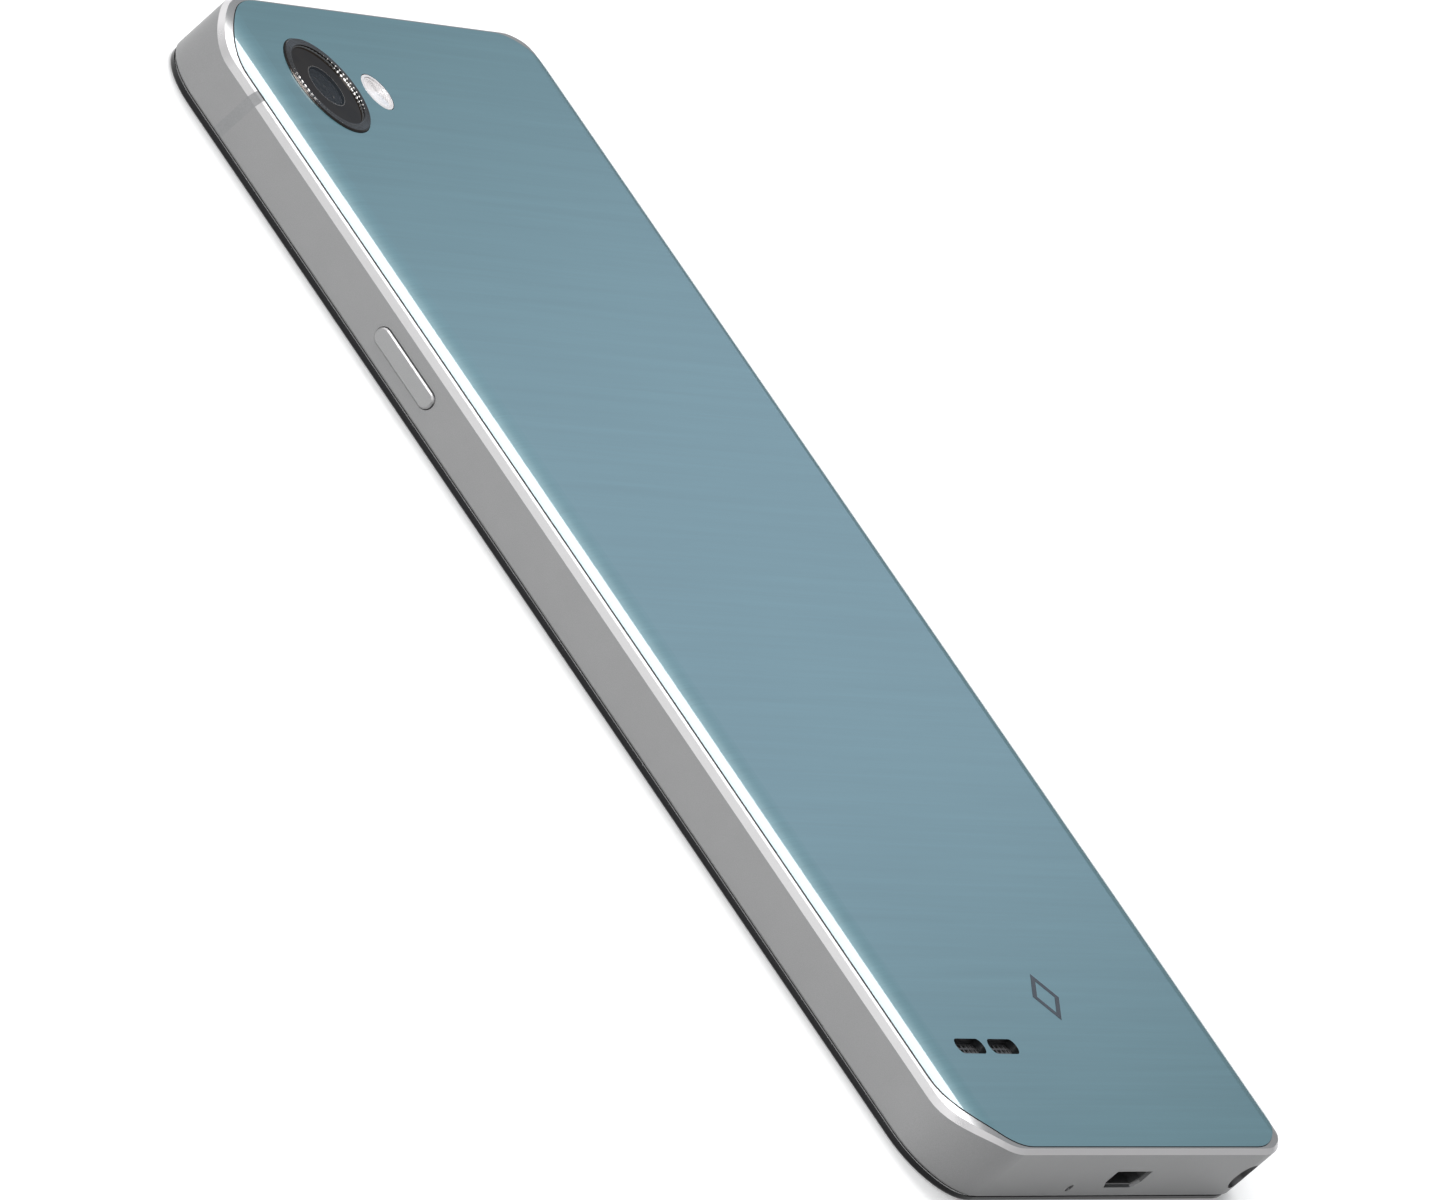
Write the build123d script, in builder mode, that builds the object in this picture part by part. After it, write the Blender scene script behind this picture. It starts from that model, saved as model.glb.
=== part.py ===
"""Smartphone with an aluminium side frame and a rear cover whose long edges curve down.

The phone lies on its screen: z = 0 is the outer face of the cover glass, +Z points out of the rear
cover, +Y points to the camera end, and +X is to the right when the rear is seen. Millimetres.
"""
from build123d import *

import os

os.makedirs("parts", exist_ok=True)

# ---------------------------------------------------------------- driving dimensions
phone_l = 142.5  # along Y
phone_w = 69.3  # along X
phone_t = 8.1  # along Z, without the camera bezel's rise
corner_r = 8.0  # plan corners
cover_corner_r = 9.8  # the rear cover's rounder ones, as if it reached the sides

frame_wall = 1.7  # side frame, outside to inside
rim_w = 0.6  # strip of frame left showing beside the rear cover
rim_sink = 0.08  # the frame's rim lies this much under the cover's surface
rim_chamfer = 0.45  # bright cut edge round the rear of the frame
front_chamfer = 0.2

cover_t = 0.8  # rear cover
cover_gap = 0.06  # round the rear cover, in its pocket
tape_t = 0.1  # adhesive under the rear cover
bend_w = 4.6  # width of the curved band, from the frame's side to the flat of the rear
bend_r = 7.1  # its radius
bend_sweep = 55  # degrees drawn of the bend, past the frame's side

glass_t = 0.75
glass_inset = 0.15
glass_soft = 0.4  # rounding of the glass's outer edge
mask_t = 0.05  # printed black border under the glass
mask_inset = 0.35
glass_tape_t = 0.12
panel_t = 0.7
backlight_t = 0.45
layer_gap = 0.1  # between the display, the mid plate and what lies on it
plate_t = 0.4  # mid plate

wall_gap = 0.05  # between a fixed inner piece and what holds it
move_gap = 0.1  # round a sliding piece
chassis_wall = 1.0
chassis_top = 6.2

# ---------------------------------------------------------------- levels and edges
half_l = phone_l / 2
half_w = phone_w / 2
bend_x = half_w - bend_w
bend_z = phone_t - bend_r
z_mask = glass_t + mask_t
z_frame = z_mask + glass_tape_t
z_panel = z_mask + panel_t
z_light = z_panel + backlight_t
z_plate = z_light + layer_gap
z_floor = z_plate + plate_t
z_roof = phone_t - cover_t
inner_w = half_w - frame_wall
inner_l = half_l - frame_wall
chassis_inset = frame_wall + wall_gap
bay_inset = chassis_inset + chassis_wall
bay_w = half_w - bay_inset

ON_BASE = (Align.CENTER, Align.CENTER, Align.MIN)


def outline(inset, mode=Mode.ADD, corner=corner_r):
    """The phone's rounded plan, smaller by inset on every side."""
    radius = max(corner - inset, 0.5)
    RectangleRounded(phone_w - 2 * inset, phone_l - 2 * inset, radius, mode=mode)


def rear_layer(depth):
    """All the space under the rear surface sunk by depth, wider and longer than the phone."""
    radius = bend_r - depth
    with BuildPart() as layer:
        with BuildSketch(Plane.XZ):
            with BuildLine():
                left = CenterArc((-bend_x, bend_z), radius, 90, bend_sweep)
                right = CenterArc((bend_x, bend_z), radius, 90, -bend_sweep)
                Line(left @ 0, right @ 0)
                Polyline(left @ 1, ((left @ 1).X, -1), ((right @ 1).X, -1), right @ 1)
            make_face()
        extrude(amount=phone_l, both=True)
    return layer.part


def plan_block(inset, low, high, corner=corner_r):
    """The phone's plan, smaller by inset, between two heights."""
    with BuildPart() as block:
        with BuildSketch(Plane.XY.offset(low)):
            outline(inset, corner=corner)
        extrude(amount=high - low)
    return block.part


def slab(x, y, low, width, length, height, corner=0.3, mode=Mode.ADD):
    """An upright block with rounded plan corners, centred on x and y, standing on low."""
    with BuildSketch(Plane.XY.offset(low)) as base:
        with Locations((x, y)):
            RectangleRounded(width, length, corner)
    extrude(base.sketch, amount=height, mode=mode)


def disc(x, y, low, radius, height, mode=Mode.ADD):
    """An upright round piece standing on low."""
    with Locations((x, y, low)):
        Cylinder(radius, height, align=ON_BASE, mode=mode)


# ---------------------------------------------------------------- side keys
key_l = 9.6
key_h = 1.9
key_z = 3.45
key_proud = 0.35
key_lip = 0.45  # flange round the key inside the frame
key_lip_t = 0.5
plunger_l = 2.4
plunger_h = 1.4
dome_gap = 0.3
dome_t = 0.3
dome_r = 0.85
strip_t = 0.2
strip_h = 1.9
bracket_t = 0.8
power_y = half_l - 43.7
volume_high_y = half_l - 36.3
volume_low_y = volume_high_y - key_l - 1.4
keys = {
    "power_key": (-1, power_y),
    "volume_up_key": (1, volume_high_y),
    "volume_down_key": (1, volume_low_y),
}
lip_out = inner_w - wall_gap
lip_in = lip_out - key_lip_t
dome_out = lip_in - 0.65 - dome_gap
strip_out = dome_out - dome_t
bracket_out = strip_out - strip_t
bracket_in = bracket_out - bracket_t
volume_mid_y = (volume_high_y + volume_low_y) / 2
volume_strip_l = volume_high_y - volume_low_y + key_l + 2
strips = {"power": (-1, power_y, key_l + 2), "volume": (1, volume_mid_y, volume_strip_l)}

# ---------------------------------------------------------------- card tray
tray_w = 14.0
tray_y = volume_high_y + key_l / 2 + 3.25 + tray_w / 2
tray_z = 3.5
tray_l = 27.4  # from behind its flap to its inner end
tray_t = 0.9
flap_w = tray_w + 1.2
flap_h = 1.9
flap_t = 1.2
cage_gap = 0.3
cage_t = 0.2
sim_x, sim_y, sim_t = 8.8, 12.3, 0.67
sim_cut = 2.4
memory_x, memory_y, memory_t = 15.0, 11.0, 0.7
card_gap = 0.1
tray_out = half_w - flap_t
tray_in = tray_out - tray_l
cage_w = tray_w + 2 * cage_gap + 2 * cage_t
rod_travel = 1.2
lever_gap = rod_travel + 0.5
lever_w = 1.2
lever_x = tray_in - lever_gap - lever_w / 2
lever_y = tray_y + 1.0
lever_arm = flap_w / 2
rod_y = lever_y + lever_arm
rod_r = 0.4
pin_hole_r = 0.5

# ---------------------------------------------------------------- ports
usb_x = 1.7
usb_z = 3.65
usb_w = 7.5
usb_h = 2.45
usb_wall = 0.25
usb_cut = 0.85
usb_l = 5.6
socket_x = half_w - 7.25
socket_z = 3.95
socket_bore_r = 1.8
socket_wall = 0.17
socket_depth = 14.0
socket_body_w = 2 * socket_bore_r + 2.0
mic_x = -8.6
mic_z = 2.3
mic_hole_r = 0.5

# ---------------------------------------------------------------- rear fittings
camera_x = -half_w + 13.25
camera_y = half_l - 11.15
bezel_r = 5.95
bezel_wall = 0.95
bezel_rise = 0.2
bezel_lip = 0.8
bezel_lip_t = 0.3
window_t = 0.4
flash_x = -half_w + 23.55
flash_r = 2.25
slot_y = -half_l + 12.7
slot_l = 5.9
slot_h = 1.8
slot_pitch = 7.05
slot_mid_x = -half_w + 14.4
mesh_t = 0.25
emblem_y = -half_l + 18.85
emblem_size = 4.0
emblem_line = 0.65
emblem_t = 0.12
emblem_rise = 0.02

# ---------------------------------------------------------------- boards, battery and cameras
board_z = 4.3
board_t = 0.7
board_low_y = half_l - 42.75
board_high_y = inner_l - 0.9
board_half_w = bracket_in - 0.5
board_rear = board_z + board_t
sub_z = usb_z + usb_h / 2 + wall_gap
sub_t = 0.6
sub_left = mic_x - 0.5
sub_right = socket_x - socket_body_w / 2 - 0.2
sub_low_y = -inner_l + 0.4
sub_high_y = -half_l + 17.0
battery_low_y = -half_l + 26.2
battery_high_y = board_low_y - 1.9
battery_left = -bay_w + 4.2
battery_right = bay_w - 6.8
battery_z = z_floor + layer_gap
battery_t = 4.0
rib_t = 0.8
rib_gap = 0.35
can_t = 0.2
can_h = 1.4
boss_r = 1.6
screw_r = 0.7
screw_fit = 0.05
head_r = 1.2
head_t = 0.5
module_w = 9.0
module_top = 6.7
barrel_r = 3.1
barrel_gap = 0.15
focus_travel = 0.25

# ---------------------------------------------------------------- cover glass and display
panel_side = 2.35  # from the frame's side to the panel
panel_top_y = half_l - 6.25
panel_low_y = -half_l + 6.95
panel_w = phone_w - 2 * panel_side
active_side = 3.4
active_top_y = half_l - 7.25
active_low_y = -half_l + 10.25
active_w = phone_w - 2 * active_side
earpiece_y = half_l - frame_wall - 2.2
ear_slot_l = 11.0
ear_slot_h = 1.1
front_camera_x = -13.5
front_lens_r = 1.6
sensor_x = 10.5
sensor_r = 1.0


with BuildPart() as cover_glass:
    with BuildSketch():
        outline(glass_inset)
    extrude(amount=glass_t)
    fillet(cover_glass.edges().group_by(Axis.Z)[0], radius=glass_soft)
    with BuildSketch():
        with Locations((0, earpiece_y)):
            SlotOverall(ear_slot_l, ear_slot_h)
    extrude(amount=glass_t, mode=Mode.SUBTRACT)
cover_glass.part.label = "cover_glass"
export_step(cover_glass.part, "parts/cover_glass.step")

with BuildPart() as glass_mask:
    with BuildSketch(Plane.XY.offset(glass_t)):
        outline(mask_inset)
        with Locations((0, (active_top_y + active_low_y) / 2)):
            Rectangle(active_w, active_top_y - active_low_y, mode=Mode.SUBTRACT)
        with Locations((0, earpiece_y)):
            SlotOverall(ear_slot_l, ear_slot_h, mode=Mode.SUBTRACT)
        with Locations((front_camera_x, earpiece_y)):
            Circle(front_lens_r, mode=Mode.SUBTRACT)
        with Locations((sensor_x, earpiece_y)):
            Circle(sensor_r, mode=Mode.SUBTRACT)
    extrude(amount=mask_t)
glass_mask.part.label = "glass_mask"
export_step(glass_mask.part, "parts/glass_mask.step")

with BuildPart() as glass_tape:
    with BuildSketch(Plane.XY.offset(z_mask)):
        outline(mask_inset)
        outline(frame_wall - 0.2, mode=Mode.SUBTRACT)
    extrude(amount=glass_tape_t)
glass_tape.part.label = "glass_tape"
export_step(glass_tape.part, "parts/glass_tape.step")

panel_mid_y = (panel_top_y + panel_low_y) / 2
panel_l = panel_top_y - panel_low_y
with BuildPart() as display_panel:
    slab(0, panel_mid_y, z_mask, panel_w, panel_l, panel_t, corner=1.0)
    with BuildSketch(Plane.XY.offset(glass_t)):
        with Locations((0, (active_top_y + active_low_y) / 2)):
            Rectangle(active_w - 0.1, active_top_y - active_low_y - 0.1)
    extrude(amount=mask_t)
display_panel.part.label = "display_panel"
export_step(display_panel.part, "parts/display_panel.step")

with BuildPart() as backlight:
    slab(0, panel_mid_y, z_panel, panel_w - 0.4, panel_l - 0.4, backlight_t, corner=1.0)
backlight.part.label = "backlight"
export_step(backlight.part, "parts/backlight.step")

# ---------------------------------------------------------------- side frame
with BuildPart() as cover_pocket:
    add(plan_block(rim_w, phone_t / 2, phone_t + 1, cover_corner_r))
    add(rear_layer(cover_t + tape_t), mode=Mode.SUBTRACT)


def side_slot(side, y, z, length, height):
    """A round-ended slot right through one long wall of the frame and the chassis."""
    with BuildSketch(Plane.YZ.offset(side * half_w)) as slot:
        with Locations((y, z)):
            SlotOverall(length, height)
    extrude(slot.sketch, amount=-side * 2 * chassis_inset, both=True, mode=Mode.SUBTRACT)


def usb_outline(grow, mode=Mode.ADD):
    """The port's section: wide at the rear side, with two cut corners at the screen side."""
    wide = usb_w / 2 + grow
    high = usb_h / 2 + grow
    with Locations((usb_x, usb_z)):
        Polygon(
            (-wide, high),
            (wide, high),
            (wide, -high + usb_cut),
            (wide - usb_cut, -high),
            (usb_cut - wide, -high),
            (-wide, -high + usb_cut),
            align=None,
            mode=mode,
        )


def end_hole(end, x, z, radius):
    """A round hole right through one end wall."""
    with Locations(Location((x, end * half_l, z), (90, 0, 0))):
        Cylinder(radius, 2 * (bay_inset + wall_gap), mode=Mode.SUBTRACT)


with BuildPart() as frame_ring:
    add(plan_block(0, z_frame, phone_t + 1))
    add(rear_layer(rim_sink), mode=Mode.INTERSECT)
    chamfer(frame_ring.edges().group_by(Axis.Z)[0], length=front_chamfer)
    level_edges = frame_ring.edges().filter_by(Axis.Z, reverse=True)
    rear_edges = level_edges.filter_by(lambda edge: edge.center().Z > phone_t / 2)
    rim_edges = rear_edges.filter_by(lambda edge: abs(abs(edge.center().X) - bend_x) > 0.01)
    chamfer(rim_edges, length=rim_chamfer)
    add(plan_block(frame_wall, 0, phone_t + 1), mode=Mode.SUBTRACT)
    add(cover_pocket.part, mode=Mode.SUBTRACT)
    for side, y in keys.values():
        side_slot(side, y, key_z, key_l + 2 * move_gap, key_h + 2 * move_gap)
    side_slot(1, tray_y, tray_z, flap_w + 2 * move_gap, flap_h + 2 * move_gap)
    with Locations(Location((half_w, rod_y, tray_z), (0, 90, 0))):
        Cylinder(pin_hole_r, 2 * bay_inset, mode=Mode.SUBTRACT)
    with BuildSketch(Plane.XZ.offset(half_l)):
        usb_outline(wall_gap)
    extrude(amount=2 * frame_wall, both=True, mode=Mode.SUBTRACT)
    end_hole(-1, socket_x, socket_z, socket_bore_r)
    end_hole(-1, mic_x, mic_z, mic_hole_r)
    end_hole(1, mic_x, mic_z, mic_hole_r)

break_y = half_l - 12.35
break_w = 1.3
break_depth = 0.8
break_places = [(-1, break_y), (1, -break_y)]
with BuildPart() as break_blocks:
    for side, y in break_places:
        with Locations((side * half_w, y, z_frame - 0.5)):
            Box(2 * break_depth, break_w, phone_t, align=ON_BASE)

with BuildPart() as side_frame:
    add(frame_ring.part)
    add(break_blocks.part, mode=Mode.SUBTRACT)
side_frame.part.label = "side_frame"
export_step(side_frame.part, "parts/side_frame.step")

with BuildPart() as antenna_breaks:
    add(frame_ring.part)
    add(break_blocks.part, mode=Mode.INTERSECT)
antenna_breaks.part.label = "antenna_breaks"
export_step(antenna_breaks.part, "parts/antenna_breaks.step")

# ---------------------------------------------------------------- mid plate and chassis
bar_top_y = panel_top_y + layer_gap
bar_low_y = panel_low_y - layer_gap
socket_low = socket_z - socket_bore_r - socket_wall
board_screws = [
    (-board_half_w + 3.0, board_low_y + 7.5),
    (board_half_w - 3.5, board_low_y + 7.0),
    (board_half_w - 3.0, board_high_y - 3.5),
    (camera_x + module_w, camera_y - 11.0),
]
sub_screws = [
    (sub_left + 3.0, sub_high_y - 5.0),
    (sub_right - 8.5, sub_high_y - 2.7),
    (sub_right - 3.0, bar_low_y + boss_r + 0.5),
]
rib_mid_x = (battery_left + battery_right) / 2
rib_places = [battery_high_y + rib_gap + rib_t / 2, battery_low_y - rib_gap - rib_t / 2]


def socket_room(low, high, mode=Mode.SUBTRACT):
    """Room for the headphone socket's body, with a gap all round it."""
    length = socket_depth + 1.0
    y = -half_l + length / 2
    slab(socket_x, y, low, socket_body_w + 2 * layer_gap, length, high - low, mode=mode)


with BuildPart() as mid_plate:
    add(plan_block(bay_inset + wall_gap, z_plate, z_floor))
    slab(0, (bar_top_y + bar_low_y) / 2, z_plate, phone_w, bar_top_y - bar_low_y - 0.2, plate_t,
         mode=Mode.INTERSECT)
    socket_room(z_plate, z_floor)
    for rib_y in rib_places:
        slab(rib_mid_x, rib_y, z_floor, battery_right - battery_left, rib_t, battery_t * 0.7)
    for x, y in board_screws:
        disc(x, y, z_floor, boss_r, board_z - z_floor)
        disc(x, y, z_plate, screw_r + screw_fit, phone_t, mode=Mode.SUBTRACT)
    for x, y in sub_screws:
        disc(x, y, z_floor, boss_r, sub_z - z_floor)
        disc(x, y, z_plate, screw_r + screw_fit, phone_t, mode=Mode.SUBTRACT)
mid_plate.part.label = "mid_plate"
export_step(mid_plate.part, "parts/mid_plate.step")

receiver_w, receiver_l, receiver_low, receiver_t = 10.4, 3.9, 1.3, 2.2
front_module_w, front_module_l = 4.6, 3.8
front_low = z_frame + 0.1
sensor_w, sensor_l, sensor_t = 3.0, 2.0, 1.0
flex_x, flex_w, flex_t = 14.0, 8.0, 0.15
flex_y = bar_low_y - 0.6
boot_w, boot_l = 3.4, 2.4
boot_y = inner_l - 1.4 - boot_l / 2
with BuildPart() as plate_bay:
    add(plan_block(bay_inset, z_frame, z_floor + 1))
    slab(0, (bar_top_y + bar_low_y) / 2, z_frame, phone_w, bar_top_y - bar_low_y, phone_t,
         mode=Mode.INTERSECT)

with BuildPart() as chassis:
    add(plan_block(chassis_inset, z_frame, chassis_top))
    add(plan_block(bay_inset, z_floor, chassis_top + 1), mode=Mode.SUBTRACT)
    slab(0, (bar_top_y + bar_low_y) / 2, z_frame - 1, phone_w, bar_top_y - bar_low_y,
         z_plate - z_frame + 1, corner=1.0, mode=Mode.SUBTRACT)
    add(plate_bay.part, mode=Mode.SUBTRACT)
    for side, y, length in strips.values():
        with Locations((side * (bracket_in + half_w) / 2, y, z_floor)):
            Box(half_w - bracket_in, length + 2, key_z + strip_h / 2 - z_floor + 0.2, align=ON_BASE)
        with Locations((side * (bracket_out + half_w) / 2, y, z_plate)):
            Box(half_w - bracket_out, length, phone_t, align=ON_BASE, mode=Mode.SUBTRACT)
    add(plan_block(chassis_inset, z_frame - 1, phone_t), mode=Mode.INTERSECT)
    slab(half_w, tray_y, z_plate, 2 * bay_inset + 1, cage_w, board_z - z_plate + 0.4, mode=Mode.SUBTRACT)
    with Locations(Location((half_w, rod_y, tray_z), (0, 90, 0))):
        Cylinder(rod_r + 0.2, 2 * bay_inset + 1, mode=Mode.SUBTRACT)
    with BuildSketch(Plane.XZ.offset(half_l)):
        usb_outline(2 * wall_gap)
    extrude(amount=-(usb_l + 1), mode=Mode.SUBTRACT)
    socket_room(z_frame, phone_t)
    for x, width, length in (
        (0, receiver_w, receiver_l),
        (front_camera_x, front_module_w, front_module_l),
        (sensor_x, sensor_w, sensor_l),
    ):
        slab(x, earpiece_y, z_frame - 1, width + 0.2, length + 0.2, board_z - z_frame + 1,
             mode=Mode.SUBTRACT)
    slab(flex_x, bar_low_y - 0.2, z_frame - 1, flex_w + 0.4, 1.4, board_z, mode=Mode.SUBTRACT)
    for end in (-1, 1):
        slab(mic_x, end * boot_y, z_frame + 0.3, boot_w + 0.2, boot_l + 0.2, 4, mode=Mode.SUBTRACT)
        end_hole(end, mic_x, mic_z, mic_hole_r)
chassis.part.label = "chassis"
export_step(chassis.part, "parts/chassis.step")

# ---------------------------------------------------------------- rear cover and its fittings
slot_places = [(slot_mid_x - slot_pitch / 2, slot_y), (slot_mid_x + slot_pitch / 2, slot_y)]


def diamond_line():
    """The line of a square standing on one corner, a generic mark."""
    inner = emblem_size - 2 * emblem_line
    with Locations((0, emblem_y)):
        Rectangle(emblem_size, emblem_size, rotation=45)
        Rectangle(inner, inner, rotation=45, mode=Mode.SUBTRACT)


with BuildPart() as rear_cover:
    add(plan_block(rim_w + cover_gap, phone_t / 2, phone_t + 1, cover_corner_r))
    add(rear_layer(0), mode=Mode.INTERSECT)
    add(rear_layer(cover_t), mode=Mode.SUBTRACT)
    disc(camera_x, camera_y, z_roof - 1, bezel_r + wall_gap, 3, mode=Mode.SUBTRACT)
    disc(flash_x, camera_y, z_roof - 1, flash_r + wall_gap, 3, mode=Mode.SUBTRACT)
    with BuildSketch(Plane.XY.offset(z_roof - 1)):
        with Locations(*slot_places):
            SlotOverall(slot_l, slot_h)
    extrude(amount=3, mode=Mode.SUBTRACT)
    with BuildSketch(Plane.XY.offset(phone_t + emblem_rise - emblem_t)):
        diamond_line()
    extrude(amount=emblem_t, mode=Mode.SUBTRACT)
rear_cover.part.label = "rear_cover"
export_step(rear_cover.part, "parts/rear_cover.step")

with BuildPart() as emblem:
    with BuildSketch(Plane.XY.offset(phone_t + emblem_rise - emblem_t)):
        diamond_line()
    extrude(amount=emblem_t)
emblem.part.label = "emblem"
export_step(emblem.part, "parts/emblem.step")

with BuildPart() as cover_tape:
    add(plan_block(rim_w + 2 * cover_gap, phone_t / 2, phone_t + 1, cover_corner_r))
    add(rear_layer(cover_t), mode=Mode.INTERSECT)
    add(rear_layer(cover_t + tape_t), mode=Mode.SUBTRACT)
    add(plan_block(frame_wall, 0, phone_t + 1), mode=Mode.SUBTRACT)
cover_tape.part.label = "cover_tape"
export_step(cover_tape.part, "parts/cover_tape.step")

bezel_low = z_roof - bezel_lip_t
window_r = bezel_r - bezel_wall
window_low = phone_t - 0.05 - window_t
ledge_r = window_r - 0.6
with BuildPart() as camera_bezel:
    disc(camera_x, camera_y, bezel_low, bezel_r + bezel_lip, bezel_lip_t)
    disc(camera_x, camera_y, bezel_low, bezel_r, phone_t + bezel_rise - bezel_low)
    top_edges = camera_bezel.edges().group_by(Axis.Z)[-1]
    chamfer(top_edges, length=0.15)
    disc(camera_x, camera_y, bezel_low, ledge_r, 3, mode=Mode.SUBTRACT)
    disc(camera_x, camera_y, window_low, window_r, 3, mode=Mode.SUBTRACT)
camera_bezel.part.label = "camera_bezel"
export_step(camera_bezel.part, "parts/camera_bezel.step")

with BuildPart() as camera_window:
    disc(camera_x, camera_y, window_low, window_r - wall_gap, window_t)
camera_window.part.label = "camera_window"
export_step(camera_window.part, "parts/camera_window.step")

trim_t = 0.3
trim_hole_r = 2.3
with BuildPart() as camera_trim:
    disc(camera_x, camera_y, window_low - trim_t, ledge_r - wall_gap, trim_t)
    disc(camera_x, camera_y, window_low - trim_t, trim_hole_r, trim_t, mode=Mode.SUBTRACT)
camera_trim.part.label = "camera_trim"
export_step(camera_trim.part, "parts/camera_trim.step")

guide_r = 1.6
guide_low = board_rear + 1.2
with BuildPart() as flash_window:
    disc(flash_x, camera_y, z_roof, flash_r, cover_t)
    disc(flash_x, camera_y, guide_low, guide_r, z_roof - guide_low)
flash_window.part.label = "flash_window"
export_step(flash_window.part, "parts/flash_window.step")

mesh_w = slot_pitch + slot_l + 1.4
mesh_h = slot_h + 1.4
mesh_pitch = 0.9
with BuildPart() as speaker_mesh:
    slab(slot_mid_x, slot_y, z_roof - mesh_t, mesh_w, mesh_h, mesh_t, corner=0.8)
    for slot_x, y in slot_places:
        with Locations((slot_x, y, z_roof - mesh_t / 2)):
            with GridLocations(mesh_pitch, mesh_pitch * 0.6, 6, 3):
                Cylinder(0.2, 2 * mesh_t, mode=Mode.SUBTRACT)
speaker_mesh.part.label = "speaker_mesh"
export_step(speaker_mesh.part, "parts/speaker_mesh.step")

# ---------------------------------------------------------------- keys and their switches
for label, (side, y) in keys.items():
    with BuildPart() as key:
        with BuildSketch(Plane.YZ.offset(side * (half_w + key_proud))):
            with Locations((y, key_z)):
                SlotOverall(key_l, key_h)
        extrude(amount=-side * (half_w + key_proud - lip_out))
        crown = key.faces().sort_by(Axis.X)[-1 if side > 0 else 0]
        chamfer(crown.edges(), length=0.15)
        with BuildSketch(Plane.YZ.offset(side * lip_out)):
            with Locations((y, key_z)):
                RectangleRounded(key_l + 2 * key_lip, key_h + 2 * key_lip, 0.6)
        extrude(amount=-side * key_lip_t)
        with BuildSketch(Plane.YZ.offset(side * lip_in)):
            with Locations((y, key_z)):
                Rectangle(plunger_l, plunger_h)
        extrude(amount=-side * (lip_in - dome_out - dome_gap))
    key.part.label = label
    export_step(key.part, f"parts/{label}.step")

with BuildPart() as key_switches:
    for side, y, length in strips.values():
        with Locations((side * (bracket_out + strip_out) / 2, y, key_z)):
            Box(strip_out - bracket_out, length - 0.2, strip_h)
    for side, y in keys.values():
        with Locations(Location((side * (strip_out + dome_out) / 2, y, key_z), (0, 90, 0))):
            Cylinder(dome_r, dome_t)
key_switches.part.label = "key_switches"
export_step(key_switches.part, "parts/key_switches.step")

# ---------------------------------------------------------------- card tray, cards and reader
card_low = tray_z + tray_t / 2 - memory_t
sim_place_x = tray_out - 1.6 - sim_x / 2
memory_place_x = sim_place_x - sim_x / 2 - 0.9 - memory_x / 2
with BuildPart() as card_tray:
    with BuildSketch(Plane.YZ.offset(tray_out)):
        with Locations((tray_y, tray_z)):
            SlotOverall(flap_w, flap_h)
    extrude(amount=flap_t)
    slab((tray_out + tray_in) / 2, tray_y, tray_z - tray_t / 2, tray_l, tray_w, tray_t, corner=0.6)
    for x, w, l in ((sim_place_x, sim_x, sim_y), (memory_place_x, memory_x, memory_y)):
        slab(x, tray_y, card_low - wall_gap, w + 2 * card_gap, l + 2 * card_gap, tray_t, mode=Mode.SUBTRACT)
        slab(x, tray_y, tray_z - tray_t, w - 1.6, l - 1.6, 2 * tray_t, mode=Mode.SUBTRACT)
card_tray.part.label = "card_tray"
export_step(card_tray.part, "parts/card_tray.step")

with BuildPart() as sim_card:
    with BuildSketch(Plane.XY.offset(card_low)):
        with Locations((sim_place_x, tray_y)):
            Rectangle(sim_x, sim_y)
        with Locations((sim_place_x - sim_x / 2, tray_y + sim_y / 2)):
            Rectangle(sim_cut, sim_cut, rotation=45, mode=Mode.SUBTRACT)
    extrude(amount=sim_t)
sim_card.part.label = "sim_card"
export_step(sim_card.part, "parts/sim_card.step")

with BuildPart() as memory_card:
    slab(memory_place_x, tray_y, card_low, memory_x, memory_y, memory_t, corner=0.5)
memory_card.part.label = "memory_card"
export_step(memory_card.part, "parts/memory_card.step")

cage_in = lever_x - lever_w / 2 - rod_travel - 0.4 - cage_t
cage_out = board_half_w
cage_mid = (cage_in + cage_out) / 2
cage_l = cage_out - cage_in
pivot_r = 0.5
with BuildPart() as card_reader:
    slab(cage_mid, tray_y, z_floor + wall_gap, cage_l, cage_w, board_z - z_floor - wall_gap)
    slab(cage_mid + cage_t, tray_y, z_floor, cage_l, cage_w - 2 * cage_t, board_z - z_floor - cage_t,
         mode=Mode.SUBTRACT)
    slab(lever_x, tray_y, z_floor, lever_w + 2 * rod_travel + 0.6, 2 * cage_w,
         board_z - z_floor - cage_t, mode=Mode.SUBTRACT)
    disc(lever_x, lever_y, z_floor + 0.3, pivot_r, board_z - z_floor - 0.3)
card_reader.part.label = "card_reader"
export_step(card_reader.part, "parts/card_reader.step")

lever_t = 0.4
with BuildPart() as eject_lever:
    with BuildSketch(Plane.XY.offset(tray_z - lever_t / 2)):
        with Locations((lever_x, lever_y)):
            SlotOverall(2 * lever_arm + lever_w, lever_w, rotation=90)
            Circle(pivot_r + 0.05, mode=Mode.SUBTRACT)
    extrude(amount=lever_t)
eject_lever.part.label = "eject_lever"
export_step(eject_lever.part, "parts/eject_lever.step")

rod_tip_x = lever_x + lever_w / 2 + 0.15
rod_l = inner_w - 0.4 - rod_tip_x
with BuildPart() as eject_rod:
    with Locations(Location((rod_tip_x + rod_l / 2, rod_y, tray_z), (0, 90, 0))):
        Cylinder(rod_r, rod_l)
eject_rod.part.label = "eject_rod"
export_step(eject_rod.part, "parts/eject_rod.step")

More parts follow.
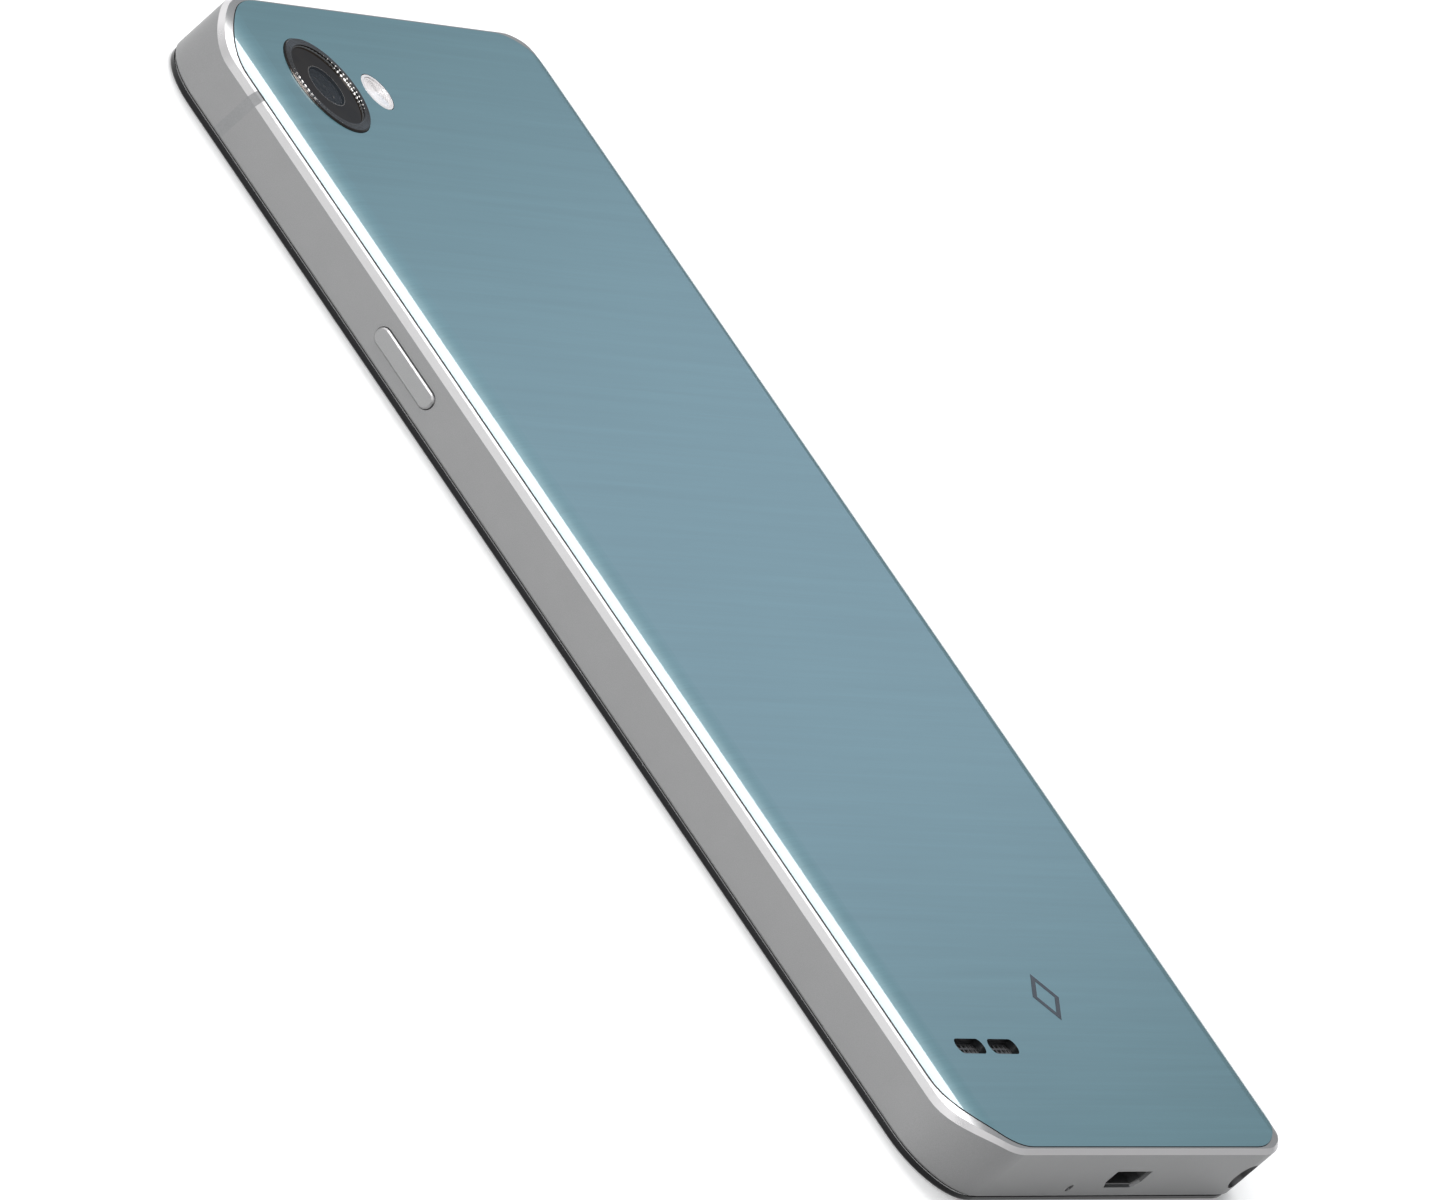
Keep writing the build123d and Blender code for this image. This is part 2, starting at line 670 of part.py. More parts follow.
# ---------------------------------------------------------------- boards
notch_right = camera_x + module_w / 2 + 0.5
notch_low = camera_y - module_w / 2 - 0.5
with BuildPart() as main_board:
    slab(0, (board_low_y + board_high_y) / 2, board_z, 2 * board_half_w, board_high_y - board_low_y,
         board_t, corner=1.0)
    slab(notch_right - phone_w / 2, notch_low + phone_l / 2, board_z, phone_w, phone_l, board_t,
         corner=1.0, mode=Mode.SUBTRACT)
    add(plan_block(bay_inset + 0.3, board_z, board_rear), mode=Mode.INTERSECT)
    for x, y in board_screws:
        disc(x, y, board_z, screw_r + 0.1, board_t, mode=Mode.SUBTRACT)
main_board.part.label = "main_board"
export_step(main_board.part, "parts/main_board.step")

with BuildPart() as sub_board:
    slab((sub_left + sub_right) / 2, (sub_low_y + sub_high_y) / 2, sub_z, sub_right - sub_left,
         sub_high_y - sub_low_y, sub_t, corner=1.0)
    add(plan_block(bay_inset + 0.3, sub_z, sub_z + sub_t), mode=Mode.INTERSECT)
    for x, y in sub_screws:
        disc(x, y, sub_z, screw_r + 0.1, sub_t, mode=Mode.SUBTRACT)
sub_board.part.label = "sub_board"
export_step(sub_board.part, "parts/sub_board.step")

cans = [
    (2.0, board_low_y + 16.0, 21.0, 21.0),
    (board_half_w - 9.5, board_low_y + 19.5, 12.0, 20.0),
]
chip_t = 0.9
with BuildPart() as board_chips:
    for x, y, w, l in cans:
        slab(x, y + l / 5, board_rear, w * 0.5, l * 0.4, chip_t, corner=0.1)
        slab(x - w / 6, y - l / 4, board_rear, w * 0.4, l * 0.25, chip_t * 0.8, corner=0.1)
board_chips.part.label = "board_chips"
export_step(board_chips.part, "parts/board_chips.step")

with BuildPart() as shield_cans:
    for x, y, w, l in cans:
        slab(x, y, board_rear, w, l, can_h, corner=0.8)
        slab(x, y, board_rear, w - 2 * can_t, l - 2 * can_t, can_h - can_t, corner=0.6, mode=Mode.SUBTRACT)
shield_cans.part.label = "shield_cans"
export_step(shield_cans.part, "parts/shield_cans.step")

carrier_x, carrier_w, carrier_l, carrier_t = 9.0, 30.0, 6.5, 1.6
carrier_y = board_high_y - 0.4 - carrier_l / 2
with BuildPart() as antenna_carrier:
    slab(carrier_x, carrier_y, board_rear, carrier_w, carrier_l, carrier_t, corner=1.0)
    slab(carrier_x, carrier_y, board_rear, carrier_w - 1.6, carrier_l - 1.6, carrier_t - 0.6,
         corner=0.6, mode=Mode.SUBTRACT)
    for x, y in board_screws:
        disc(x, y, board_rear, head_r + 0.3, carrier_t, mode=Mode.SUBTRACT)
antenna_carrier.part.label = "antenna_carrier"
export_step(antenna_carrier.part, "parts/antenna_carrier.step")

# ---------------------------------------------------------------- battery and cables
battery_l = battery_high_y - battery_low_y
battery_mid_y = (battery_high_y + battery_low_y) / 2
battery_x = (battery_left + battery_right) / 2
with BuildPart() as battery:
    slab(battery_x, battery_mid_y, battery_z, battery_right - battery_left, battery_l, battery_t,
         corner=2.0)
    fillet(battery.edges().filter_by(Axis.Z, reverse=True), radius=0.6)
battery.part.label = "battery"
export_step(battery.part, "parts/battery.step")

tab_x, tab_w, tab_t = -6.0, 9.0, 0.2
with BuildPart() as battery_tab:
    tab_end = board_low_y + 3.5
    with Locations((tab_x, (battery_high_y - 2 + tab_end) / 2, battery_z + battery_t)):
        Box(tab_w, tab_end - battery_high_y + 2, tab_t, align=ON_BASE)
    with Locations((tab_x, tab_end - 1.2, board_rear)):
        Box(tab_w - 2, 2.4, battery_z + battery_t - board_rear, align=ON_BASE)
battery_tab.part.label = "battery_tab"
export_step(battery_tab.part, "parts/battery_tab.step")

link_x, link_w, link_t = bay_w - 4.25, 4.4, 0.15
link_low_y = sub_high_y + 0.9
link_high_y = board_low_y + 3.0
plug_t = 0.8
with BuildPart() as board_flex:
    with Locations((link_x, (link_low_y + link_high_y) / 2, z_floor + wall_gap)):
        Box(link_w, link_high_y - link_low_y, link_t, align=ON_BASE)
    with Locations((link_x + link_w / 2 - 6.5, link_low_y - 1.0, z_floor + wall_gap)):
        Box(13.0, 2.4, link_t, align=ON_BASE)
    with Locations((sub_right - 3.4, link_low_y - 2.2, z_floor + wall_gap)):
        Box(5.0, 2.4, link_t, align=ON_BASE)
board_flex.part.label = "board_flex"
export_step(board_flex.part, "parts/board_flex.step")

coax_r = 0.4
coax_x = -bay_w + 2.9
coax_z = z_floor + 0.75
coax_low_y = battery_low_y - rib_gap - rib_t - 1.0
coax_turn = 2.5
contact = 1.9
coax_start = (coax_x, board_low_y + 3.0, coax_z)
coax_end = (sub_left + 3.0, sub_high_y - 0.4, coax_z)
with BuildPart() as coax_cable:
    with BuildLine():
        route = FilletPolyline(
            coax_start,
            (coax_x, coax_low_y, coax_z),
            (coax_end[0], coax_low_y, coax_z),
            coax_end,
            radius=coax_turn,
        )
    with BuildSketch(Plane(origin=route @ 0, z_dir=route % 0)):
        Circle(coax_r)
    sweep()
coax_cable.part.label = "coax_cable"
export_step(coax_cable.part, "parts/coax_cable.step")

with BuildPart() as board_plugs:
    slab(coax_x, coax_start[1] + contact / 2, coax_z - coax_r, contact, contact, board_z - coax_z + coax_r,
         corner=0.4)
    slab(coax_end[0], coax_end[1] - contact / 2, coax_z - coax_r, contact, contact,
         sub_z - coax_z + coax_r, corner=0.4)
    slab(link_x - 0.3, link_high_y - 1.2, z_floor + wall_gap + link_t, link_w - 0.8, 2.4,
         board_z - z_floor - wall_gap - link_t)
    slab(sub_right - 3.4, link_low_y - 2.2, z_floor + wall_gap + link_t, 5.0, 2.4,
         sub_z - z_floor - wall_gap - link_t)
board_plugs.part.label = "board_plugs"
export_step(board_plugs.part, "parts/board_plugs.step")

flex_top = sub_z - plug_t
flex_l = 5.0
with BuildPart() as display_flex:
    with Locations((flex_x, flex_y, z_panel - 0.1)):
        Box(flex_w, flex_t, flex_top - z_panel + 0.1, align=ON_BASE)
    with Locations((flex_x, flex_y + flex_l / 2 - flex_t / 2, flex_top - flex_t)):
        Box(flex_w, flex_l, flex_t, align=ON_BASE)
    with Locations((flex_x, flex_y + (bar_low_y + layer_gap - flex_y) / 2, z_panel - 0.1)):
        Box(flex_w, bar_low_y + layer_gap - flex_y, flex_t, align=ON_BASE)
    with Locations((flex_x, flex_y + flex_l - 2.0, flex_top)):
        Box(flex_w - 1, 2.0, plug_t - 0.05, align=ON_BASE)
display_flex.part.label = "display_flex"
export_step(display_flex.part, "parts/display_flex.step")

# ---------------------------------------------------------------- rear camera, flash and front camera
module_low = z_floor + layer_gap
module_floor = 0.45
image_t = 0.4
barrel_low = module_low + module_floor + image_t + 0.6
barrel_top = window_low - trim_t - focus_travel - 0.15
with BuildPart() as camera_housing:
    slab(camera_x, camera_y, module_low, module_w, module_w, module_top - module_low, corner=0.4)
    disc(camera_x, camera_y, module_low + module_floor, barrel_r + barrel_gap, module_top,
         mode=Mode.SUBTRACT)
camera_housing.part.label = "camera_housing"
export_step(camera_housing.part, "parts/camera_housing.step")

with BuildPart() as image_sensor:
    slab(camera_x, camera_y, module_low + module_floor, 4.6, 3.6, image_t, corner=0.1)
image_sensor.part.label = "image_sensor"
export_step(image_sensor.part, "parts/image_sensor.step")

lens_r = 2.0
with BuildPart() as lens_barrel:
    disc(camera_x, camera_y, barrel_low, barrel_r, barrel_top - barrel_low)
    chamfer(lens_barrel.edges().group_by(Axis.Z)[-1], length=0.3)
    disc(camera_x, camera_y, barrel_low, lens_r, barrel_top, mode=Mode.SUBTRACT)
lens_barrel.part.label = "lens_barrel"
export_step(lens_barrel.part, "parts/lens_barrel.step")

lens_rise = 0.35
with BuildPart() as camera_lenses:
    disc(camera_x, camera_y, barrel_low + 0.4, lens_r, 0.7)
    disc(camera_x, camera_y, barrel_top - 1.2, lens_r, 0.5)
    with BuildSketch(Plane.XZ.offset(-camera_y)):
        with BuildLine():
            dome = ThreePointArc(
                (camera_x, barrel_top - 0.7 + lens_rise),
                (camera_x + lens_r * 0.55, barrel_top - 0.7 + lens_rise * 0.7),
                (camera_x + lens_r, barrel_top - 0.7),
            )
            Polyline(dome @ 1, (camera_x, barrel_top - 0.7), dome @ 0)
        make_face()
    revolve(axis=Axis((camera_x, camera_y, 0), (0, 0, 1)))
camera_lenses.part.label = "camera_lenses"
export_step(camera_lenses.part, "parts/camera_lenses.step")

with BuildPart() as flash_led:
    slab(flash_x, camera_y, board_rear, 2.2, 2.2, 0.7, corner=0.1)
    disc(flash_x, camera_y, board_rear + 0.7, 0.7, 0.25)
flash_led.part.label = "flash_led"
export_step(flash_led.part, "parts/flash_led.step")

front_step = 0.5
with BuildPart() as front_camera:
    slab(front_camera_x, earpiece_y, front_low + front_step, front_module_w, front_module_l,
         board_z - 0.2 - front_low - front_step)
    disc(front_camera_x, earpiece_y, front_low, 1.5, front_step)
    disc(front_camera_x, earpiece_y, front_low, 0.9, front_step, mode=Mode.SUBTRACT)
front_camera.part.label = "front_camera"
export_step(front_camera.part, "parts/front_camera.step")

with BuildPart() as front_lens:
    disc(front_camera_x, earpiece_y, front_low + 0.15, 0.9, front_step - 0.15)
front_lens.part.label = "front_lens"
export_step(front_lens.part, "parts/front_lens.step")

with BuildPart() as proximity_sensor:
    slab(sensor_x, earpiece_y, front_low, sensor_w, sensor_l, sensor_t, corner=0.2)
proximity_sensor.part.label = "proximity_sensor"
export_step(proximity_sensor.part, "parts/proximity_sensor.step")

# ---------------------------------------------------------------- sound
with BuildPart() as earpiece_mesh:
    with BuildSketch(Plane.XY.offset(glass_t * 0.5)):
        with Locations((0, earpiece_y)):
            SlotOverall(ear_slot_l - 0.1, ear_slot_h - 0.1)
            with GridLocations(0.7, 0.4, 14, 2):
                Circle(0.13, mode=Mode.SUBTRACT)
    extrude(amount=0.2)
earpiece_mesh.part.label = "earpiece_mesh"
export_step(earpiece_mesh.part, "parts/earpiece_mesh.step")

with BuildPart() as earpiece_receiver:
    slab(0, earpiece_y, receiver_low, receiver_w, receiver_l, receiver_t, corner=1.0)
    slab(0, earpiece_y, receiver_low, receiver_w - 2.4, receiver_l - 2.4, 0.3, mode=Mode.SUBTRACT)
earpiece_receiver.part.label = "earpiece_receiver"
export_step(earpiece_receiver.part, "parts/earpiece_receiver.step")

box_w, box_l = 18.6, 15.4
box_wall = 0.8
box_low = z_floor + layer_gap
box_top = z_roof - mesh_t - wall_gap
cone_w, cone_l, cone_t = 14.5, 10.5, 0.25
cone_travel = 0.25
cone_low = box_top - 0.4 - 0.35 - cone_travel - cone_t
coil_h = 1.1
magnet_w, magnet_l, magnet_t = 8.0, 5.0, 1.4
with BuildPart() as speaker_box:
    slab(slot_mid_x, slot_y, box_low, box_w, box_l, box_top - box_low, corner=1.5)
    slab(slot_mid_x, slot_y, box_low + 0.5, box_w - 2 * box_wall, box_l - 2 * box_wall,
         box_top - box_low - 0.9, corner=1.0, mode=Mode.SUBTRACT)
    slab(slot_mid_x, slot_y, box_low + 1, mesh_w - 1.4, mesh_h - 1.0, 6, corner=0.8, mode=Mode.SUBTRACT)
speaker_box.part.label = "speaker_box"
export_step(speaker_box.part, "parts/speaker_box.step")

with BuildPart() as speaker_magnet:
    slab(slot_mid_x, slot_y, box_low + 0.5, magnet_w, magnet_l, magnet_t, corner=1.0)
speaker_magnet.part.label = "speaker_magnet"
export_step(speaker_magnet.part, "parts/speaker_magnet.step")

with BuildPart() as speaker_cone:
    slab(slot_mid_x, slot_y, cone_low, cone_w, cone_l, cone_t, corner=3.0)
    slab(slot_mid_x, slot_y, cone_low - coil_h, magnet_w + 1.4, magnet_l + 1.4, coil_h, corner=1.7)
    slab(slot_mid_x, slot_y, cone_low - coil_h, magnet_w + 0.8, magnet_l + 0.8, coil_h, corner=1.4,
         mode=Mode.SUBTRACT)
speaker_cone.part.label = "speaker_cone"
export_step(speaker_cone.part, "parts/speaker_cone.step")

boot_low = mic_z - 0.7
mic_duct_r = 0.35
mic_t = 1.0
with BuildPart() as mic_boots:
    for end, top in ((-1, sub_z - mic_t), (1, board_z - mic_t)):
        slab(mic_x, end * boot_y, boot_low, boot_w, boot_l, top - boot_low)
        with Locations(Location((mic_x, end * (boot_y + boot_l / 2), mic_z), (90, 0, 0))):
            Cylinder(mic_hole_r, boot_l + 2 * mic_duct_r + 0.2, mode=Mode.SUBTRACT)
        disc(mic_x, end * boot_y, mic_z, mic_duct_r, 5, mode=Mode.SUBTRACT)
mic_boots.part.label = "mic_boots"
export_step(mic_boots.part, "parts/mic_boots.step")

with BuildPart() as microphones:
    for end, top in ((-1, sub_z), (1, board_z)):
        slab(mic_x, end * boot_y, top - mic_t, 3.0, 2.0, mic_t)
microphones.part.label = "microphones"
export_step(microphones.part, "parts/microphones.step")

# ---------------------------------------------------------------- ports
with BuildPart() as headphone_socket:
    socket_l = socket_depth + 0.8
    slab(socket_x, -half_l + socket_l / 2, socket_low, socket_body_w, socket_l,
         2 * (socket_z - socket_low), corner=0.6)
    add(plan_block(chassis_inset, 0, phone_t), mode=Mode.INTERSECT)
    with Locations(Location((socket_x, -half_l + socket_depth / 2, socket_z), (90, 0, 0))):
        Cylinder(socket_bore_r, socket_depth, mode=Mode.SUBTRACT)
headphone_socket.part.label = "headphone_socket"
export_step(headphone_socket.part, "parts/headphone_socket.step")

usb_set = 0.3
tongue_w, tongue_t, tongue_l = 5.2, 0.6, 3.4
usb_base_l = 1.6
with BuildPart() as usb_shell:
    with BuildSketch(Plane.XZ.offset(half_l - usb_set)):
        usb_outline(0)
        usb_outline(-usb_wall, mode=Mode.SUBTRACT)
    extrude(amount=-usb_l)
usb_shell.part.label = "usb_shell"
export_step(usb_shell.part, "parts/usb_shell.step")

with BuildPart() as usb_tongue:
    with BuildSketch(Plane.XZ.offset(half_l - usb_set - usb_l + usb_base_l)):
        usb_outline(-usb_wall)
    extrude(amount=-usb_base_l)
    with Locations((usb_x, -half_l + usb_set + usb_l - usb_base_l - tongue_l / 2, usb_z + 0.35)):
        Box(tongue_w, tongue_l, tongue_t)
usb_tongue.part.label = "usb_tongue"
export_step(usb_tongue.part, "parts/usb_tongue.step")

# ---------------------------------------------------------------- vibration motor
motor_r = 2.0
motor_y = -half_l + 21.0
motor_z = z_floor + 0.15 + motor_r
motor_x = 8.0
motor_l = 7.0
weight_l = 3.4
weight_r = 1.9
shaft_r = 0.4
weight_x = motor_x + motor_l + 0.6
with BuildPart() as motor_case:
    with Locations(Location((motor_x + motor_l / 2, motor_y, motor_z), (0, 90, 0))):
        Cylinder(motor_r, motor_l)
        Cylinder(shaft_r + 0.05, motor_l, mode=Mode.SUBTRACT)
motor_case.part.label = "motor_case"
export_step(motor_case.part, "parts/motor_case.step")

with BuildPart() as motor_weight:
    with BuildSketch(Plane.YZ.offset(weight_x)):
        with Locations((motor_y, motor_z)):
            Circle(weight_r)
            with Locations((0, weight_r)):
                Rectangle(2 * weight_r, 2 * weight_r, mode=Mode.SUBTRACT)
            Circle(shaft_r + 0.4)
    extrude(amount=weight_l)
    with Locations(Location((motor_x + 1 + (weight_x - motor_x - 1) / 2, motor_y, motor_z), (0, 90, 0))):
        Cylinder(shaft_r, weight_x - motor_x - 1)
motor_weight.part.label = "motor_weight"
export_step(motor_weight.part, "parts/motor_weight.step")

boot_wall = 0.5
with BuildPart() as motor_boot:
    with Locations((motor_x + motor_l / 2, motor_y, z_floor)):
        Box(motor_l - 2, 2 * (motor_r + boot_wall), motor_z + motor_r * 0.5 - z_floor, align=ON_BASE)
    with Locations(Location((motor_x + motor_l / 2, motor_y, motor_z), (0, 90, 0))):
        Cylinder(motor_r, motor_l, mode=Mode.SUBTRACT)
motor_boot.part.label = "motor_boot"
export_step(motor_boot.part, "parts/motor_boot.step")

# ---------------------------------------------------------------- screws
with BuildPart() as screws:
    for places, top in ((board_screws, board_rear), (sub_screws, sub_z + sub_t)):
        for x, y in places:
            disc(x, y, top, head_r, head_t)
            disc(x, y, z_floor + 0.3, screw_r, top - z_floor - 0.3)
            with Locations((x, y, top + head_t / 2)):
                Box(1.4, 0.3, head_t, align=ON_BASE, mode=Mode.SUBTRACT)
                Box(0.3, 1.4, head_t, align=ON_BASE, mode=Mode.SUBTRACT)
screws.part.label = "screws"
export_step(screws.part, "parts/screws.step")
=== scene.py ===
"""Looks for a smartphone lying on its screen: materials, fine detail, floor, light and camera."""
import math

import bmesh
import bpy
from mathutils import Matrix, Vector


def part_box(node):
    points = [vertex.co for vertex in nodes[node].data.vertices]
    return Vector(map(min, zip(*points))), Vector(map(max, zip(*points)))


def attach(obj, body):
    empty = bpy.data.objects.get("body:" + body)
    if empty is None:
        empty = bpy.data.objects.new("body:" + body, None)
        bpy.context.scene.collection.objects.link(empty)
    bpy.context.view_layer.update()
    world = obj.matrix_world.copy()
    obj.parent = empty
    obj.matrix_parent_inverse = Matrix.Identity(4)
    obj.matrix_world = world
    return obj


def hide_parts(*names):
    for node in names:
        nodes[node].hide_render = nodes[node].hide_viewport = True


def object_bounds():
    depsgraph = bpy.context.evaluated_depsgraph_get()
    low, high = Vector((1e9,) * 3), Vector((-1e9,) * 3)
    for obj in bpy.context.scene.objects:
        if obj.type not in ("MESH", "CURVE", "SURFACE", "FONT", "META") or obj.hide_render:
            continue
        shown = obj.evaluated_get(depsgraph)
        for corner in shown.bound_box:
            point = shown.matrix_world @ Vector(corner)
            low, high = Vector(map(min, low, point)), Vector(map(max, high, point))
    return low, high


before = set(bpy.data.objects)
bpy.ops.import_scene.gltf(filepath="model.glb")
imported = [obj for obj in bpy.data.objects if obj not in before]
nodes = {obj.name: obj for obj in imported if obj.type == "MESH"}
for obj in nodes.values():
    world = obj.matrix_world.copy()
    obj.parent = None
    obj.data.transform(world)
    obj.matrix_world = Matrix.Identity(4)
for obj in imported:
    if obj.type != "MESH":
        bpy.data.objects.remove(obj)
cad_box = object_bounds()

MM = 0.001
PHONE = "phone"


def middle(node):
    """The middle of a CAD node's box."""
    low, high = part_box(node)
    return (Vector(low) + Vector(high)) / 2


# ---------------------------------------------------------------- shader helpers
def new_material(name):
    """An empty node material with its output, ready for a surface."""
    material = bpy.data.materials.new(name)
    material.use_nodes = True
    tree = material.node_tree
    tree.nodes.clear()
    output = tree.nodes.new("ShaderNodeOutputMaterial")
    shader = tree.nodes.new("ShaderNodeBsdfPrincipled")
    tree.links.new(shader.outputs["BSDF"], output.inputs["Surface"])
    return material, tree, shader


def set_shader(shader, **values):
    """Constants straight on the shader's own sockets; underscores stand for spaces."""
    for key, value in values.items():
        shader.inputs[key.replace("_", " ")].default_value = value


def object_position(tree, scale=(1, 1, 1), location=(0, 0, 0)):
    """Object coordinates, stretched by scale after location is added."""
    coordinates = tree.nodes.new("ShaderNodeTexCoord")
    moved = tree.nodes.new("ShaderNodeVectorMath")
    moved.operation = "ADD"
    moved.inputs[1].default_value = location
    tree.links.new(coordinates.outputs["Object"], moved.inputs[0])
    mapping = tree.nodes.new("ShaderNodeVectorMath")
    mapping.operation = "MULTIPLY"
    mapping.inputs[1].default_value = scale
    tree.links.new(moved.outputs["Vector"], mapping.inputs[0])
    return mapping.outputs["Vector"]


def math_node(tree, operation, first, second=None, third=None):
    """One arithmetic step; an input may be a socket or a number."""
    node = tree.nodes.new("ShaderNodeMath")
    node.operation = operation
    for place, value in enumerate((first, second, third)):
        if value is None:
            continue
        if isinstance(value, (int, float)):
            node.inputs[place].default_value = value
        else:
            tree.links.new(value, node.inputs[place])
    return node.outputs["Value"]


def split(tree, vector):
    """The x, y and z of a vector."""
    node = tree.nodes.new("ShaderNodeSeparateXYZ")
    tree.links.new(vector, node.inputs["Vector"])
    return node.outputs["X"], node.outputs["Y"], node.outputs["Z"]


def noise(tree, vector, scale, detail=4.0, roughness=0.55):
    """A noise texture's value, from 0 to 1."""
    texture = tree.nodes.new("ShaderNodeTexNoise")
    texture.inputs["Scale"].default_value = scale
    texture.inputs["Detail"].default_value = detail
    texture.inputs["Roughness"].default_value = roughness
    tree.links.new(vector, texture.inputs["Vector"])
    return texture.outputs["Fac"]


def ramp(tree, value, stops):
    """A colour ramp over value; stops are (place, colour) pairs."""
    node = tree.nodes.new("ShaderNodeValToRGB")
    node.color_ramp.elements[0].position = stops[0][0]
    node.color_ramp.elements[0].color = (*stops[0][1], 1)
    node.color_ramp.elements[1].position = stops[-1][0]
    node.color_ramp.elements[1].color = (*stops[-1][1], 1)
    for place, colour in stops[1:-1]:
        element = node.color_ramp.elements.new(place)
        element.color = (*colour, 1)
    tree.links.new(value, node.inputs["Fac"])
    return node.outputs["Color"]


def remap(tree, value, low, high, from_low=0.0, from_high=1.0):
    """value carried from one range to another."""
    node = tree.nodes.new("ShaderNodeMapRange")
    node.inputs["From Min"].default_value = from_low
    node.inputs["From Max"].default_value = from_high
    node.inputs["To Min"].default_value = low
    node.inputs["To Max"].default_value = high
    tree.links.new(value, node.inputs["Value"])
    return node.outputs["Result"]


def mix_colour(tree, share, first, second):
    """first where share is 0, second where it is 1; each may be a socket or a colour."""
    node = tree.nodes.new("ShaderNodeMix")
    node.data_type = "RGBA"
    tree.links.new(share, node.inputs["Factor"])
    for socket, value in ((node.inputs[6], first), (node.inputs[7], second)):
        if isinstance(value, tuple):
            socket.default_value = (*value, 1)
        else:
            tree.links.new(value, socket)
    return node.outputs[2]


def bump(tree, shader, height, strength, distance):
    """Raises the surface by height."""
    node = tree.nodes.new("ShaderNodeBump")
    node.inputs["Strength"].default_value = strength
    node.inputs["Distance"].default_value = distance
    tree.links.new(height, node.inputs["Height"])
    tree.links.new(node.outputs["Normal"], shader.inputs["Normal"])


def surface_normal(tree):
    """The x, y and z of the surface's own direction, in the object's frame."""
    coordinates = tree.nodes.new("ShaderNodeTexCoord")
    return split(tree, coordinates.outputs["Normal"])


def grained(name, dark, light, roughness, metallic=0.0, grain=900.0, relief=0.08, stretch=(1, 1, 1),
            coat=0.0, specular=0.5, spread=0.06, depth=0.00005):
    """A material whose colour, gloss and height vary with a fine grain."""
    material, tree, shader = new_material(name)
    vector = object_position(tree, stretch)
    fine = noise(tree, vector, grain)
    broad = noise(tree, vector, grain / 18, detail=2.0)
    mixed = math_node(tree, "MULTIPLY_ADD", fine, 0.6, remap(tree, broad, 0.0, 0.4))
    tree.links.new(ramp(tree, mixed, [(0.3, dark), (0.7, light)]), shader.inputs["Base Color"])
    tree.links.new(remap(tree, fine, roughness - spread, roughness + spread), shader.inputs["Roughness"])
    set_shader(shader, Metallic=metallic, Coat_Weight=coat, Coat_Roughness=0.05, Specular_IOR_Level=specular)
    bump(tree, shader, fine, relief, depth)
    return material


def paint(material, *names):
    """Gives a material to every slot of some CAD nodes."""
    for name in names:
        mesh = nodes[name].data
        mesh.materials.clear()
        mesh.materials.append(material)


# ---------------------------------------------------------------- rear cover
def lacquer():
    """Blue-grey lacquer over finely drawn metal foil, under clear gloss."""
    material, tree, shader = new_material("cover_lacquer_look")
    hair = noise(tree, object_position(tree, (45, 5200, 45)), 1.0, detail=3.0, roughness=0.6)
    streak = noise(tree, object_position(tree, (14, 900, 14)), 1.0, detail=2.0)
    flake = noise(tree, object_position(tree), 9000.0, detail=1.0)
    cloud = noise(tree, object_position(tree), 26.0, detail=1.0)
    lines = math_node(tree, "MULTIPLY_ADD", hair, 0.45, math_node(tree, "MULTIPLY", streak, 0.3))
    tone = math_node(tree, "ADD", lines, math_node(tree, "MULTIPLY_ADD", flake, 0.1,
                                                     math_node(tree, "MULTIPLY", cloud, 0.15)))
    colour = ramp(tree, tone, [(0.36, COVER_DARK), (0.5, COVER_MIDDLE), (0.64, COVER_LIGHT)])
    faces_up = remap(tree, surface_normal(tree)[2], 0.0, 1.0, 0.35, 0.5)
    tree.links.new(mix_colour(tree, faces_up, COVER_WALL, colour), shader.inputs["Base Color"])
    tree.links.new(remap(tree, hair, 0.34, 0.44), shader.inputs["Roughness"])
    set_shader(shader, Metallic=0.08, Coat_Weight=1.0, Coat_Roughness=0.03, Coat_IOR=1.5)
    bump(tree, shader, hair, 0.06, 0.00002)
    return material


COVER_WALL = (0.010, 0.012, 0.013)
COVER_DARK = (0.075, 0.165, 0.192)
COVER_MIDDLE = (0.083, 0.181, 0.210)
COVER_LIGHT = (0.092, 0.198, 0.229)
paint(lacquer(), "rear_cover")


# ---------------------------------------------------------------- satin frame, keys and tray
def satin(name, dark, light, roughness):
    """Blasted metal whose faces sloping up along the edges are polished smoother and painted lighter, a
    painted highlight.
    """
    material, tree, shader = new_material(name)
    vector = object_position(tree)
    blast = noise(tree, vector, 14000.0, detail=2.0)
    drift = noise(tree, vector, 240.0, detail=3.0)
    tone = math_node(tree, "MULTIPLY_ADD", blast, 0.85, math_node(tree, "MULTIPLY", drift, 0.15))
    plain = ramp(tree, tone, [(0.32, dark), (0.68, light)])
    up = surface_normal(tree)[2]
    # Painted highlight: faces sloping up along the edges get a light colour for the light from above that
    # they catch; the lower roughness there is the real polish of the cut.
    sloped_polish_and_highlight = math_node(tree, "MULTIPLY", remap(tree, up, 0.0, 1.0, 0.35, 0.6),
                      remap(tree, up, 1.0, 0.0, 0.82, 0.97))
    tree.links.new(mix_colour(tree, sloped_polish_and_highlight, plain, CHAMFER_HIGHLIGHT), shader.inputs["Base Color"])
    matt = remap(tree, blast, roughness - 0.05, roughness + 0.05)
    cut = math_node(tree, "MULTIPLY_ADD", sloped_polish_and_highlight, -0.12, matt)
    tree.links.new(cut, shader.inputs["Roughness"])
    set_shader(shader, Metallic=0.22, Specular_IOR_Level=0.12)
    bump(tree, shader, blast, 0.22, 0.00002)
    return material


# A light colour painted on the sloping edge faces: a painted highlight, not the metal's own colour.
CHAMFER_HIGHLIGHT = (0.66, 0.645, 0.65)
paint(satin("frame_look", (0.222, 0.222, 0.223), (0.267, 0.267, 0.268), 0.36), "side_frame")
paint(satin("key_look", (0.252, 0.252, 0.253), (0.300, 0.300, 0.301), 0.32),
      "power_key", "volume_up_key", "volume_down_key", "card_tray")
paint(grained("antenna_break_look", (0.18, 0.182, 0.185), (0.225, 0.227, 0.23), 0.42,
              grain=5000.0, relief=0.1), "antenna_breaks")


